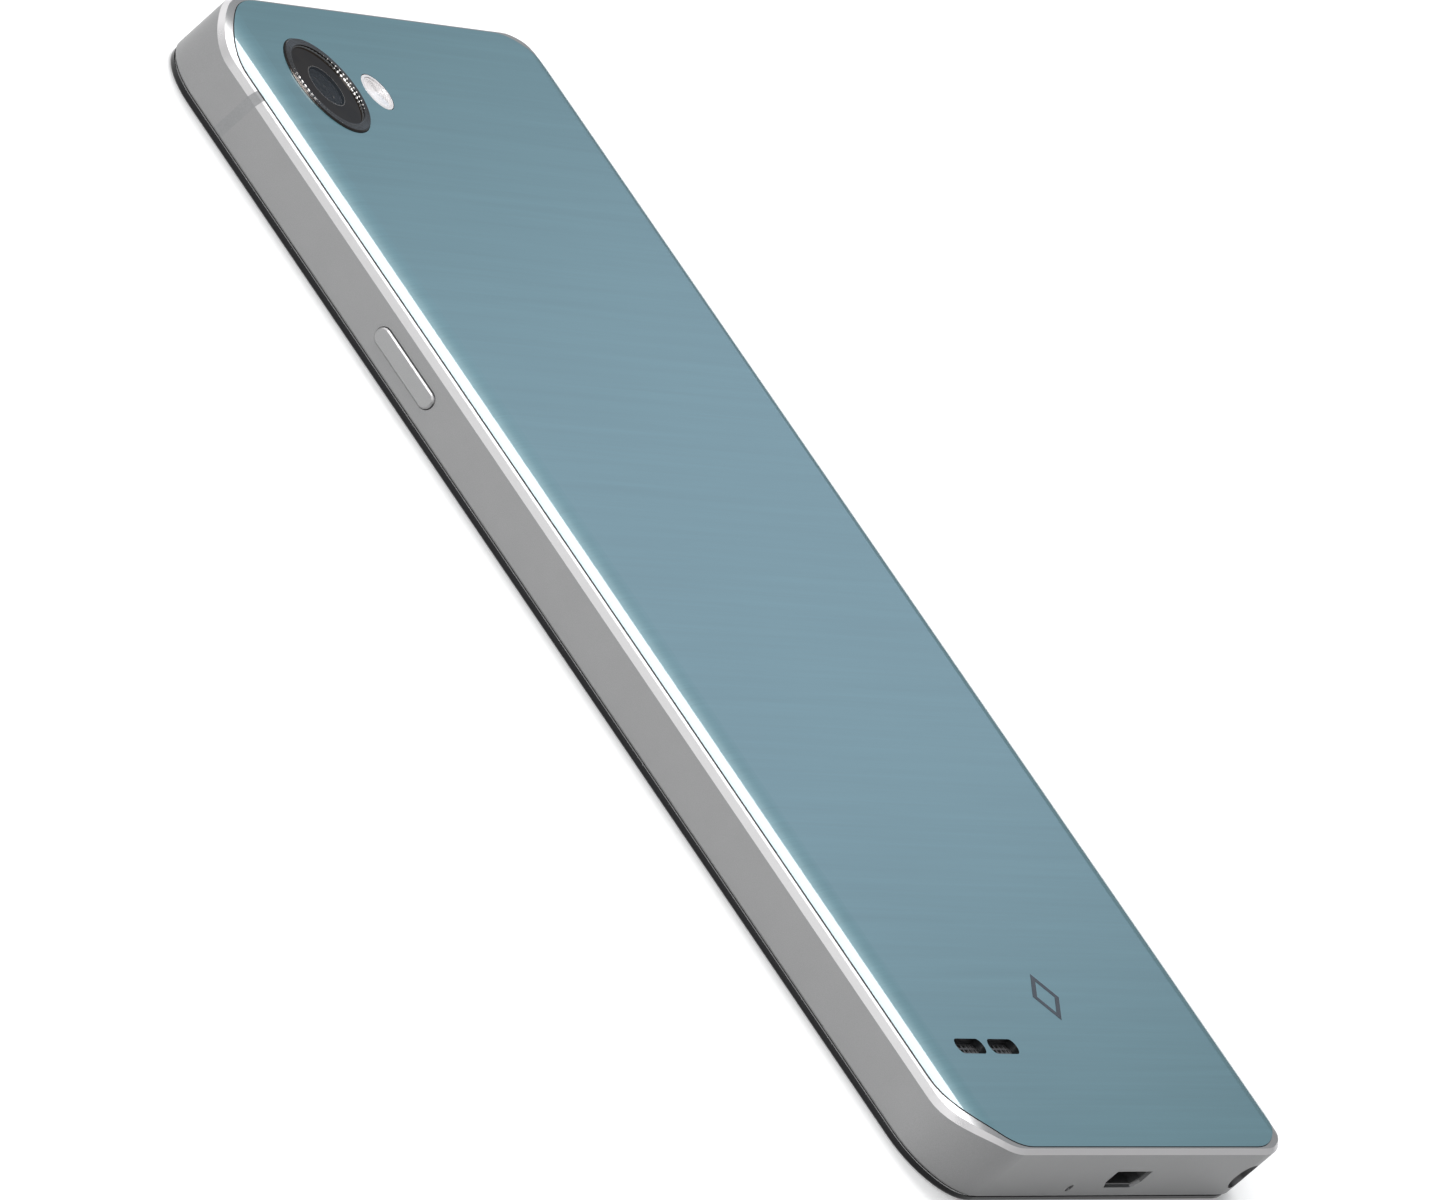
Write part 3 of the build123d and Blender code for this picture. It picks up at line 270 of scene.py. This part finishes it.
# ---------------------------------------------------------------- rings turned about a centre
def turned(name, node, dark, light, roughness, metallic, pitch, strength, coat=0.0, transmission=0.0):
    """A material with fine rings about a node's middle, as a lathe leaves them."""
    centre = middle(node)
    material, tree, shader = new_material(name)
    vector = object_position(tree, (1, 1, 0), (-centre.x, -centre.y, 0))
    length = tree.nodes.new("ShaderNodeVectorMath")
    length.operation = "LENGTH"
    tree.links.new(vector, length.inputs[0])
    turns = math_node(tree, "MULTIPLY", length.outputs["Value"], 2 * math.pi / pitch)
    rings = math_node(tree, "SINE", turns)
    speck = noise(tree, object_position(tree), 7000.0, detail=2.0)
    tone = math_node(tree, "MULTIPLY_ADD", rings, 0.18, speck)
    tree.links.new(ramp(tree, tone, [(0.25, dark), (0.75, light)]), shader.inputs["Base Color"])
    tree.links.new(remap(tree, speck, roughness * 0.7, roughness * 1.3), shader.inputs["Roughness"])
    set_shader(shader, Metallic=metallic, Coat_Weight=coat, Coat_Roughness=0.03,
               Transmission_Weight=transmission)
    bump(tree, shader, rings, strength, 0.00002)
    return material


paint(turned("bezel_look", "camera_bezel", (0.12, 0.105, 0.095), (0.22, 0.20, 0.185), roughness=0.2,
             metallic=1.0, pitch=0.16 * MM, strength=0.35), "camera_bezel")
paint(turned("trim_look", "camera_trim", (0.010, 0.010, 0.011), (0.028, 0.027, 0.028), roughness=0.4,
             metallic=0.3, pitch=0.3 * MM, strength=0.6), "camera_trim")
paint(turned("barrel_look", "lens_barrel", (0.012, 0.012, 0.013), (0.03, 0.03, 0.031), roughness=0.45,
             metallic=0.1, pitch=0.2 * MM, strength=0.8), "lens_barrel", "camera_housing", "front_camera")
paint(turned("cone_look", "speaker_cone", (0.045, 0.045, 0.05), (0.08, 0.08, 0.088), roughness=0.6,
             metallic=0.0, pitch=0.8 * MM, strength=0.8), "speaker_cone")


# ---------------------------------------------------------------- glass
def clear(name, tint, roughness, smear=0.02, ior=1.5):
    """Clear tinted glass with a very faint smear in its gloss."""
    material, tree, shader = new_material(name)
    vector = object_position(tree)
    film = noise(tree, vector, 120.0, detail=5.0)
    dark = tuple(0.92 * part for part in tint)
    tree.links.new(ramp(tree, film, [(0.3, dark), (0.7, tint)]), shader.inputs["Base Color"])
    tree.links.new(remap(tree, film, roughness, roughness + smear), shader.inputs["Roughness"])
    set_shader(shader, Transmission_Weight=1.0, IOR=ior)
    bump(tree, shader, film, 0.02, 0.00002)
    return material


def front_glass():
    """Clear glass whose ground edge is blackened, as seen all round under the frame."""
    material, tree, shader = new_material("cover_glass_look")
    vector = object_position(tree)
    film = noise(tree, vector, 90.0, detail=5.0)
    up = math_node(tree, "ABSOLUTE", surface_normal(tree)[2])
    face = remap(tree, up, 0.0, 1.0, 0.86, 0.94)
    colour = mix_colour(tree, face, (0.006, 0.006, 0.007), (0.96, 0.97, 0.98))
    tree.links.new(colour, shader.inputs["Base Color"])
    tree.links.new(remap(tree, film, 0.012, 0.045), shader.inputs["Roughness"])
    tree.links.new(face, shader.inputs["Transmission Weight"])
    set_shader(shader, IOR=1.5, Specular_IOR_Level=0.25)
    bump(tree, shader, film, 0.02, 0.00002)
    return material


paint(front_glass(), "cover_glass")


def printed_window():
    """Clear glass with a black ring printed behind all but its middle."""
    centre = middle("camera_window")
    material, tree, shader = new_material("window_look")
    offset = object_position(tree, (1, 1, 0), (-centre.x, -centre.y, 0))
    length = tree.nodes.new("ShaderNodeVectorMath")
    length.operation = "LENGTH"
    tree.links.new(offset, length.inputs[0])
    film = noise(tree, object_position(tree), 300.0, detail=5.0)
    opening = remap(tree, length.outputs["Value"], 1.0, 0.0, CLEAR_RADIUS - PRINT_BLUR,
                    CLEAR_RADIUS + PRINT_BLUR)
    ink = ramp(tree, film, [(0.3, (0.010, 0.008, 0.007)), (0.7, (0.019, 0.015, 0.012))])
    tree.links.new(mix_colour(tree, opening, ink, (0.80, 0.76, 0.74)), shader.inputs["Base Color"])
    tree.links.new(opening, shader.inputs["Transmission Weight"])
    tree.links.new(remap(tree, film, 0.01, 0.05), shader.inputs["Roughness"])
    set_shader(shader, IOR=1.2, Specular_IOR_Level=0.5)
    bump(tree, shader, film, 0.02, 0.00002)
    return material


CLEAR_RADIUS = 2.5 * MM
PRINT_BLUR = 0.03 * MM
paint(printed_window(), "camera_window")
paint(clear("lens_look", (0.55, 0.50, 0.72), 0.01), "camera_lenses", "front_lens")


def pixels():
    """An unlit display: near black, with the faint grid of its cells."""
    material, tree, shader = new_material("display_look")
    x, y, _ = split(tree, object_position(tree))
    cell = 2 * math.pi / (0.25 * MM)
    columns = math_node(tree, "SINE", math_node(tree, "MULTIPLY", x, cell))
    rows = math_node(tree, "SINE", math_node(tree, "MULTIPLY", y, cell))
    grid = math_node(tree, "MULTIPLY", columns, rows)
    cloud = noise(tree, object_position(tree), 30.0, detail=2.0)
    tone = math_node(tree, "MULTIPLY_ADD", grid, 0.18, cloud)
    tree.links.new(ramp(tree, tone, [(0.2, (0.018, 0.020, 0.025)), (0.8, (0.036, 0.039, 0.048))]),
                   shader.inputs["Base Color"])
    tree.links.new(remap(tree, cloud, 0.22, 0.3), shader.inputs["Roughness"])
    set_shader(shader, Specular_IOR_Level=0.6)
    bump(tree, shader, grid, 0.05, 0.00001)
    return material


paint(pixels(), "display_panel")
paint(grained("ink_look", (0.006, 0.006, 0.007), (0.012, 0.012, 0.013), 0.5, grain=6000.0), "glass_mask")
paint(grained("tape_look", (0.008, 0.008, 0.009), (0.02, 0.02, 0.021), 0.6, grain=3000.0),
      "glass_tape", "cover_tape")
paint(grained("film_look", (0.70, 0.70, 0.70), (0.82, 0.82, 0.82), 0.35, grain=700.0), "backlight")


# ---------------------------------------------------------------- fine mesh, emblem
HOLE_LEVEL = 0.5
HOLE_EDGE = 0.25


def perforated(name, pitch, steel, gap):
    """Thin steel with rows of round holes, pitch apart."""
    material, tree, shader = new_material(name)
    x, y, _ = split(tree, object_position(tree))
    wave = 2 * math.pi / pitch
    across = math_node(tree, "COSINE", math_node(tree, "MULTIPLY", x, wave))
    along = math_node(tree, "COSINE", math_node(tree, "MULTIPLY", y, wave))
    dots = math_node(tree, "ADD", across, along)
    open_share = remap(tree, dots, 0.0, 1.0, HOLE_LEVEL - HOLE_EDGE, HOLE_LEVEL + HOLE_EDGE)
    speck = noise(tree, object_position(tree), 8000.0, detail=2.0)
    plate = ramp(tree, speck, [(0.3, steel), (0.7, tuple(1.4 * part for part in steel))])
    tree.links.new(mix_colour(tree, open_share, plate, gap), shader.inputs["Base Color"])
    tree.links.new(math_node(tree, "MULTIPLY_ADD", open_share, 0.4, 0.4), shader.inputs["Roughness"])
    tree.links.new(remap(tree, open_share, 0.7, 0.0), shader.inputs["Metallic"])
    bump(tree, shader, math_node(tree, "SUBTRACT", 1.0, open_share), 0.8, 0.0001)
    return material


paint(perforated("speaker_mesh_look", pitch=0.5 * MM, steel=(0.10, 0.10, 0.105), gap=(0.004, 0.004, 0.004)),
      "speaker_mesh")
paint(perforated("earpiece_mesh_look", pitch=0.35 * MM, steel=(0.06, 0.06, 0.064), gap=(0.003, 0.003, 0.003)),
      "earpiece_mesh")
paint(grained("emblem_look", (0.10, 0.10, 0.105), (0.17, 0.17, 0.175), 0.24, metallic=0.9, grain=7000.0,
              stretch=(1, 0.1, 1)), "emblem")


# ---------------------------------------------------------------- boards
def circuit(name, base, copper):
    """Solder mask over traces that run in straight steps, with bare gold pads."""
    material, tree, shader = new_material(name)
    vector = object_position(tree)
    trace = tree.nodes.new("ShaderNodeTexVoronoi")
    trace.distance = "MANHATTAN"
    trace.feature = "DISTANCE_TO_EDGE"
    trace.inputs["Scale"].default_value = 520.0
    tree.links.new(vector, trace.inputs["Vector"])
    track = remap(tree, trace.outputs["Distance"], 1.0, 0.0, 0.02, 0.06)
    pad = tree.nodes.new("ShaderNodeTexVoronoi")
    pad.inputs["Scale"].default_value = 900.0
    pad.inputs["Randomness"].default_value = 0.35
    tree.links.new(vector, pad.inputs["Vector"])
    gold = remap(tree, pad.outputs["Distance"], 1.0, 0.0, 0.16, 0.22)
    weave = noise(tree, vector, 4000.0)
    mask = ramp(tree, weave, [(0.3, base), (0.7, tuple(1.25 * part for part in base))])
    tracks = mix_colour(tree, track, mask, copper)
    tree.links.new(mix_colour(tree, gold, tracks, (0.72, 0.52, 0.2)), shader.inputs["Base Color"])
    tree.links.new(gold, shader.inputs["Metallic"])
    tree.links.new(remap(tree, weave, 0.3, 0.42), shader.inputs["Roughness"])
    bump(tree, shader, math_node(tree, "ADD", track, gold), 0.35, 0.00003)
    return material


paint(circuit("board_look", (0.010, 0.060, 0.034), (0.02, 0.115, 0.06)), "main_board", "sub_board")
paint(grained("chip_look", (0.018, 0.018, 0.019), (0.036, 0.036, 0.037), 0.5, grain=5000.0),
      "board_chips", "memory_card", "proximity_sensor", "usb_tongue")
paint(grained("tin_look", (0.52, 0.52, 0.50), (0.68, 0.68, 0.66), 0.3, metallic=1.0, grain=2200.0,
              stretch=(1, 0.2, 1)),
      "shield_cans", "card_reader", "earpiece_receiver", "microphones", "motor_case")
paint(grained("port_look", (0.20, 0.20, 0.202), (0.30, 0.30, 0.302), 0.34, metallic=0.8, grain=2600.0,
              stretch=(1, 0.2, 1)), "usb_shell")
paint(grained("steel_look", (0.46, 0.46, 0.47), (0.62, 0.62, 0.63), 0.26, metallic=1.0, grain=3000.0,
              stretch=(0.2, 1, 1)), "screws", "eject_rod", "eject_lever")
paint(grained("sintered_look", (0.24, 0.24, 0.25), (0.36, 0.36, 0.37), 0.45, metallic=1.0, grain=4000.0,
              relief=0.3), "motor_weight", "speaker_magnet")
paint(grained("cast_look", (0.30, 0.30, 0.32), (0.42, 0.42, 0.44), 0.5, metallic=0.9, grain=1800.0,
              relief=0.3), "mid_plate")
paint(grained("chassis_look", (0.028, 0.028, 0.031), (0.05, 0.05, 0.054), 0.55, grain=2600.0, relief=0.2),
      "chassis", "speaker_box", "antenna_carrier", "headphone_socket")
paint(grained("polyimide_look", (0.26, 0.11, 0.02), (0.42, 0.20, 0.05), 0.3, grain=1400.0,
              stretch=(1, 0.25, 1), coat=0.3), "battery_tab", "board_flex", "display_flex", "key_switches")
paint(grained("foil_look", (0.09, 0.09, 0.10), (0.15, 0.15, 0.16), 0.36, metallic=0.6, grain=160.0,
              relief=0.5, depth=0.0002), "battery")
paint(grained("rubber_look", (0.018, 0.018, 0.019), (0.035, 0.035, 0.036), 0.7, grain=2600.0, relief=0.2),
      "mic_boots", "motor_boot", "coax_cable")
paint(grained("cream_look", (0.62, 0.57, 0.46), (0.74, 0.70, 0.58), 0.42, grain=2600.0),
      "board_plugs", "flash_led")
paint(grained("card_look", (0.68, 0.68, 0.66), (0.80, 0.80, 0.78), 0.4, grain=1500.0), "sim_card")
paint(grained("sensor_look", (0.03, 0.06, 0.075), (0.08, 0.13, 0.15), 0.15, grain=8000.0, coat=1.0),
      "image_sensor")


# ---------------------------------------------------------------- fine pieces
def new_piece(name, shape, material, body):
    """An object from a bmesh, riding on a CAD body."""
    bmesh.ops.recalc_face_normals(shape, faces=shape.faces)
    mesh = bpy.data.meshes.new(name)
    shape.to_mesh(mesh)
    shape.free()
    piece = bpy.data.objects.new(name, mesh)
    bpy.context.scene.collection.objects.link(piece)
    mesh.materials.append(material)
    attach(piece, body)
    return piece


def lathe(shape, centre, profile, segments, tooth=0.0, teeth=0):
    """Turns (radius, height) points about an upright axis; teeth push every other step out by tooth."""
    rows = []
    for step in range(segments):
        angle = 2 * math.pi * step / segments
        push = tooth * (0.5 + 0.5 * math.cos(teeth * angle)) if teeth else 0.0
        row = []
        for place, (radius, height) in enumerate(profile):
            lift = push if 0 < place < len(profile) - 1 else 0.0
            row.append(shape.verts.new((
                centre.x + (radius - lift) * math.cos(angle),
                centre.y + (radius - lift) * math.sin(angle),
                height + lift,
            )))
        rows.append(row)
    for step in range(segments):
        first, second = rows[step], rows[(step + 1) % segments]
        for place in range(len(profile) - 1):
            shape.faces.new((first[place], second[place], second[place + 1], first[place + 1]))
    return rows


def close_fan(shape, rows, place, centre, height):
    """Closes a lathed piece's end with a fan of triangles to a middle point."""
    tip = shape.verts.new((centre.x, centre.y, height))
    for step, row in enumerate(rows):
        shape.faces.new((row[place], rows[(step + 1) % len(rows)][place], tip))


CORNER_STEPS = 3
SOFT_SHARE = 0.3


def plate(shape, centre, low, width, length, thickness, corner):
    """A flat plate with rounded corners and a softened top edge."""
    def loop(inset, height):
        verts = []
        radius = max(corner - inset, 0.01 * MM)
        for quadrant in range(4):
            sign_x = 1 if quadrant in (0, 3) else -1
            sign_y = 1 if quadrant in (0, 1) else -1
            for step in range(CORNER_STEPS + 1):
                angle = math.pi / 2 * (quadrant + step / CORNER_STEPS)
                verts.append(shape.verts.new((
                    centre[0] + sign_x * (width / 2 - inset - radius) + radius * math.cos(angle),
                    centre[1] + sign_y * (length / 2 - inset - radius) + radius * math.sin(angle),
                    height,
                )))
        return verts

    soft = thickness * SOFT_SHARE
    loops = [loop(0, low), loop(0, low + thickness - soft), loop(soft, low + thickness)]
    for first, second in zip(loops, loops[1:]):
        for step in range(len(first)):
            after = (step + 1) % len(first)
            shape.faces.new((first[step], first[after], second[after], second[step]))
    shape.faces.new(loops[0])
    shape.faces.new(loops[-1])


def smooth(piece, angle=40):
    """Shades a piece smooth except across edges sharper than angle degrees."""
    for polygon in piece.data.polygons:
        polygon.use_smooth = True
    piece.data.set_sharp_from_angle(angle=math.radians(angle))


def flash_lens():
    """The flash's window: a bright rim round a stepped, slightly domed lens."""
    low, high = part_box("flash_window")
    centre = middle("flash_window")
    radius = (high[0] - low[0]) / 2
    top = high[2]
    profile = [(radius, low[2]), (radius, top - RIM_SOFT), (radius - RIM_SOFT, top)]
    profile.append((radius - RIM_WIDTH, top))
    inner = radius - RIM_WIDTH - 0.05 * MM
    profile.append((inner, top - 0.12 * MM))
    for ring in range(LENS_RINGS):
        outer = inner * (1 - (ring + 0.92) / (LENS_RINGS + 1))
        rise = LENS_DOME * ring / LENS_RINGS
        profile.append((outer + 0.03 * MM, top - STEP_CREST + rise))
        profile.append((outer, top - STEP_FOOT + rise))
    shape = bmesh.new()
    rows = lathe(shape, centre, profile, LENS_SEGMENTS)
    close_fan(shape, rows, len(profile) - 1, centre, top - 0.05 * MM)
    close_fan(shape, rows, 0, centre, low[2])
    material = turned("flash_look", "flash_window", (0.86, 0.82, 0.82), (0.97, 0.94, 0.94), roughness=0.16,
                      metallic=0.0, pitch=0.5 * MM, strength=0.1, coat=1.0, transmission=0.25)
    piece = new_piece("flash_lens", shape, material, PHONE)
    smooth(piece)
    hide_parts("flash_window")


RIM_WIDTH = 0.32 * MM
RIM_SOFT = 0.04 * MM
LENS_RINGS = 6
LENS_SEGMENTS = 72
LENS_DOME = 0.02 * MM
STEP_CREST = 0.07 * MM
STEP_FOOT = 0.11 * MM
flash_lens()


def knurled_ring():
    """A toothed polished ring between the camera's window and its bezel."""
    centre = middle("camera_window")
    low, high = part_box("camera_window")
    radius = (high[0] - low[0]) / 2
    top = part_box("camera_bezel")[1][2]
    profile = [
        (radius - 0.04 * MM, high[2] - 0.02 * MM),
        (radius + 0.02 * MM, high[2] + 0.05 * MM),
        (radius + 0.14 * MM, high[2] + 0.13 * MM),
        (radius + 0.26 * MM, top - 0.01 * MM),
        (radius + 0.34 * MM, top - 0.08 * MM),
    ]
    shape = bmesh.new()
    lathe(shape, centre, profile, KNURL_TEETH * STEPS_PER_TOOTH, tooth=TOOTH, teeth=KNURL_TEETH)
    material = grained("knurl_look", (0.50, 0.49, 0.48), (0.66, 0.65, 0.64), 0.16, metallic=1.0, grain=6000.0)
    piece = new_piece("bezel_knurl", shape, material, PHONE)
    smooth(piece, 60)


KNURL_TEETH = 60
STEPS_PER_TOOTH = 6
TOOTH = 0.045 * MM
knurled_ring()


def contacts(name, node, body, spots, size):
    """Gold pads on the upper face of a CAD node; spots are (x, y) from its middle."""
    centre = middle(node)
    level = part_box(node)[1][2]
    shape = bmesh.new()
    for x, y in spots:
        plate(shape, (centre.x + x, centre.y + y), level, size[0], size[1], PAD_THICKNESS, PAD_CORNER)
    piece = new_piece(name, shape, gold, body)
    smooth(piece)


gold = grained("gold_look", (0.72, 0.50, 0.20), (0.86, 0.66, 0.32), 0.22, metallic=1.0, grain=3000.0,
               stretch=(1, 0.3, 1))
PAD_THICKNESS = 0.03 * MM
PAD_CORNER = 0.15 * MM
SIM_PITCH = (2.7 * MM, 2.3 * MM)
MEMORY_PITCH = 1.1 * MM
MEMORY_PADS = 8
MEMORY_ROW = -5.6 * MM
contacts("sim_contacts", "sim_card", "card_tray",
         [(column * SIM_PITCH[0], row * SIM_PITCH[1]) for column in (-1, 0, 1) for row in (-1, 0, 1)],
         size=(2.4 * MM, 2.0 * MM))
contacts("memory_contacts", "memory_card", "card_tray",
         [(MEMORY_ROW, (row - (MEMORY_PADS - 1) / 2) * MEMORY_PITCH) for row in range(MEMORY_PADS)],
         size=(2.8 * MM, 0.75 * MM))


# ---------------------------------------------------------------- floor
def build_floor():
    """A broad plain floor that stays white where the lights no longer reach."""
    low = cad_box[0]
    mesh = bpy.data.meshes.new("floor")
    shape = bmesh.new()
    bmesh.ops.create_grid(shape, x_segments=8, y_segments=8, size=FLOOR_HALF)
    bmesh.ops.translate(shape, verts=shape.verts, vec=(0, 0, low[2] - FLOOR_GAP))
    shape.to_mesh(mesh)
    shape.free()
    floor = bpy.data.objects.new("floor", mesh)
    bpy.context.scene.collection.objects.link(floor)
    look = grained("floor_look", (0.68, 0.68, 0.68), (0.72, 0.72, 0.72), 0.6, grain=60.0, relief=0.02)
    tree = look.node_tree
    shader = next(node for node in tree.nodes if node.type == "BSDF_PRINCIPLED")
    away = tree.nodes.new("ShaderNodeVectorMath")
    away.operation = "LENGTH"
    tree.links.new(object_position(tree), away.inputs[0])
    glow = remap(tree, away.outputs["Value"], NEAR_GLOW, FAR_GLOW, GLOW_STARTS, GLOW_ENDS)
    tree.links.new(glow, shader.inputs["Emission Strength"])
    set_shader(shader, Emission_Color=(1, 1, 1, 1))
    mesh.materials.append(look)


FLOOR_GAP = 0.05 * MM
FLOOR_HALF = 60.0
NEAR_GLOW = 0.3
FAR_GLOW = 1.0
GLOW_STARTS = 0.35
GLOW_ENDS = 0.9
build_floor()


# ---------------------------------------------------------------- light
def softbox(name, direction, distance, width, height, radiance, target=(0, 0, 0), faded=False,
            tint=(1, 1, 1)):
    """A rectangular light that faces target from a direction; its height runs along the phone's length."""
    light = bpy.data.lights.new(name, "AREA")
    light.shape = "RECTANGLE"
    light.size = width
    light.size_y = height
    light.energy = radiance * math.pi * width * height
    light.color = tint
    lamp = bpy.data.objects.new(name, light)
    toward = Vector(direction).normalized()
    along = Vector((0, 1, 0)) - toward * toward.y
    along.normalize()
    across = along.cross(toward)
    lamp.matrix_world = (Matrix.Translation(Vector(target) + toward * distance)
                         @ Matrix((across, along, toward)).transposed().to_4x4())
    bpy.context.scene.collection.objects.link(lamp)
    if faded:
        fade(light)


def fade(light):
    """Dims a light smoothly towards the two ends of the phone, as a feathered softbox does."""
    light.use_nodes = True
    tree = light.node_tree
    emission = next(node for node in tree.nodes if node.type == "EMISSION")
    geometry = tree.nodes.new("ShaderNodeNewGeometry")
    centred = tree.nodes.new("ShaderNodeVectorMath")
    centred.operation = "SUBTRACT"
    centred.inputs[1].default_value = (0.5, 0.5, 0)
    tree.links.new(geometry.outputs["Parametric"], centred.inputs[0])
    away = math_node(tree, "ABSOLUTE", split(tree, centred.outputs["Vector"])[1])
    glow = tree.nodes.new("ShaderNodeMapRange")
    glow.interpolation_type = "SMOOTHERSTEP"
    glow.inputs["From Min"].default_value = 0.0
    glow.inputs["From Max"].default_value = 0.5
    glow.inputs["To Min"].default_value = 1.0
    glow.inputs["To Max"].default_value = 0.0
    tree.links.new(away, glow.inputs["Value"])
    tree.links.new(glow.outputs["Result"], emission.inputs["Strength"])


softbox("overhead", (0.19, 0.31, 0.93), 1.2, 0.46, 0.6, 12.5)
softbox("rim", (-0.35, 0.31, 0.88), 1.2, 0.5, 0.6, 4.2)
softbox("fill", (-0.9, 0.1, 0.43), 1.5, 1.0, 1.0, 4.8)
softbox("glow", (0.713, 0.307, 0.631), 1.0, 0.95, 0.36, 0.72, target=(0, 0.012, 0), faded=True,
        tint=(0.6, 0.78, 1.0))

world = bpy.data.worlds.new("studio")
bpy.context.scene.world = world
world.use_nodes = True
world.node_tree.nodes["Background"].inputs["Color"].default_value = (0.9, 0.95, 1.0, 1)
world.node_tree.nodes["Background"].inputs["Strength"].default_value = 0.16

# ---------------------------------------------------------------- camera
camera = bpy.data.cameras.new("camera")
camera.sensor_width = 36.0
camera.lens = 391.2
camera.clip_start = 0.05
camera.clip_end = 200.0
viewer = bpy.data.objects.new("camera", camera)
bpy.context.scene.collection.objects.link(viewer)
CAMERA_RIGHT = Vector((0.46288, -0.53628, 0.70580))
CAMERA_UP = Vector((-0.03106, 0.78593, 0.61753))
CAMERA_BACK = Vector((-0.88588, -0.30777, 0.34713))
CAMERA_SIDESTEP = 0.32 * MM
CAMERA_PLACE = Vector((-1.3626, -0.4732, 0.5376)) - CAMERA_RIGHT * CAMERA_SIDESTEP
turn = Matrix((CAMERA_RIGHT, CAMERA_UP, CAMERA_BACK)).transposed().to_4x4()
viewer.matrix_world = Matrix.Translation(CAMERA_PLACE) @ turn
bpy.context.scene.camera = viewer
bpy.context.scene.view_settings.view_transform = "Standard"
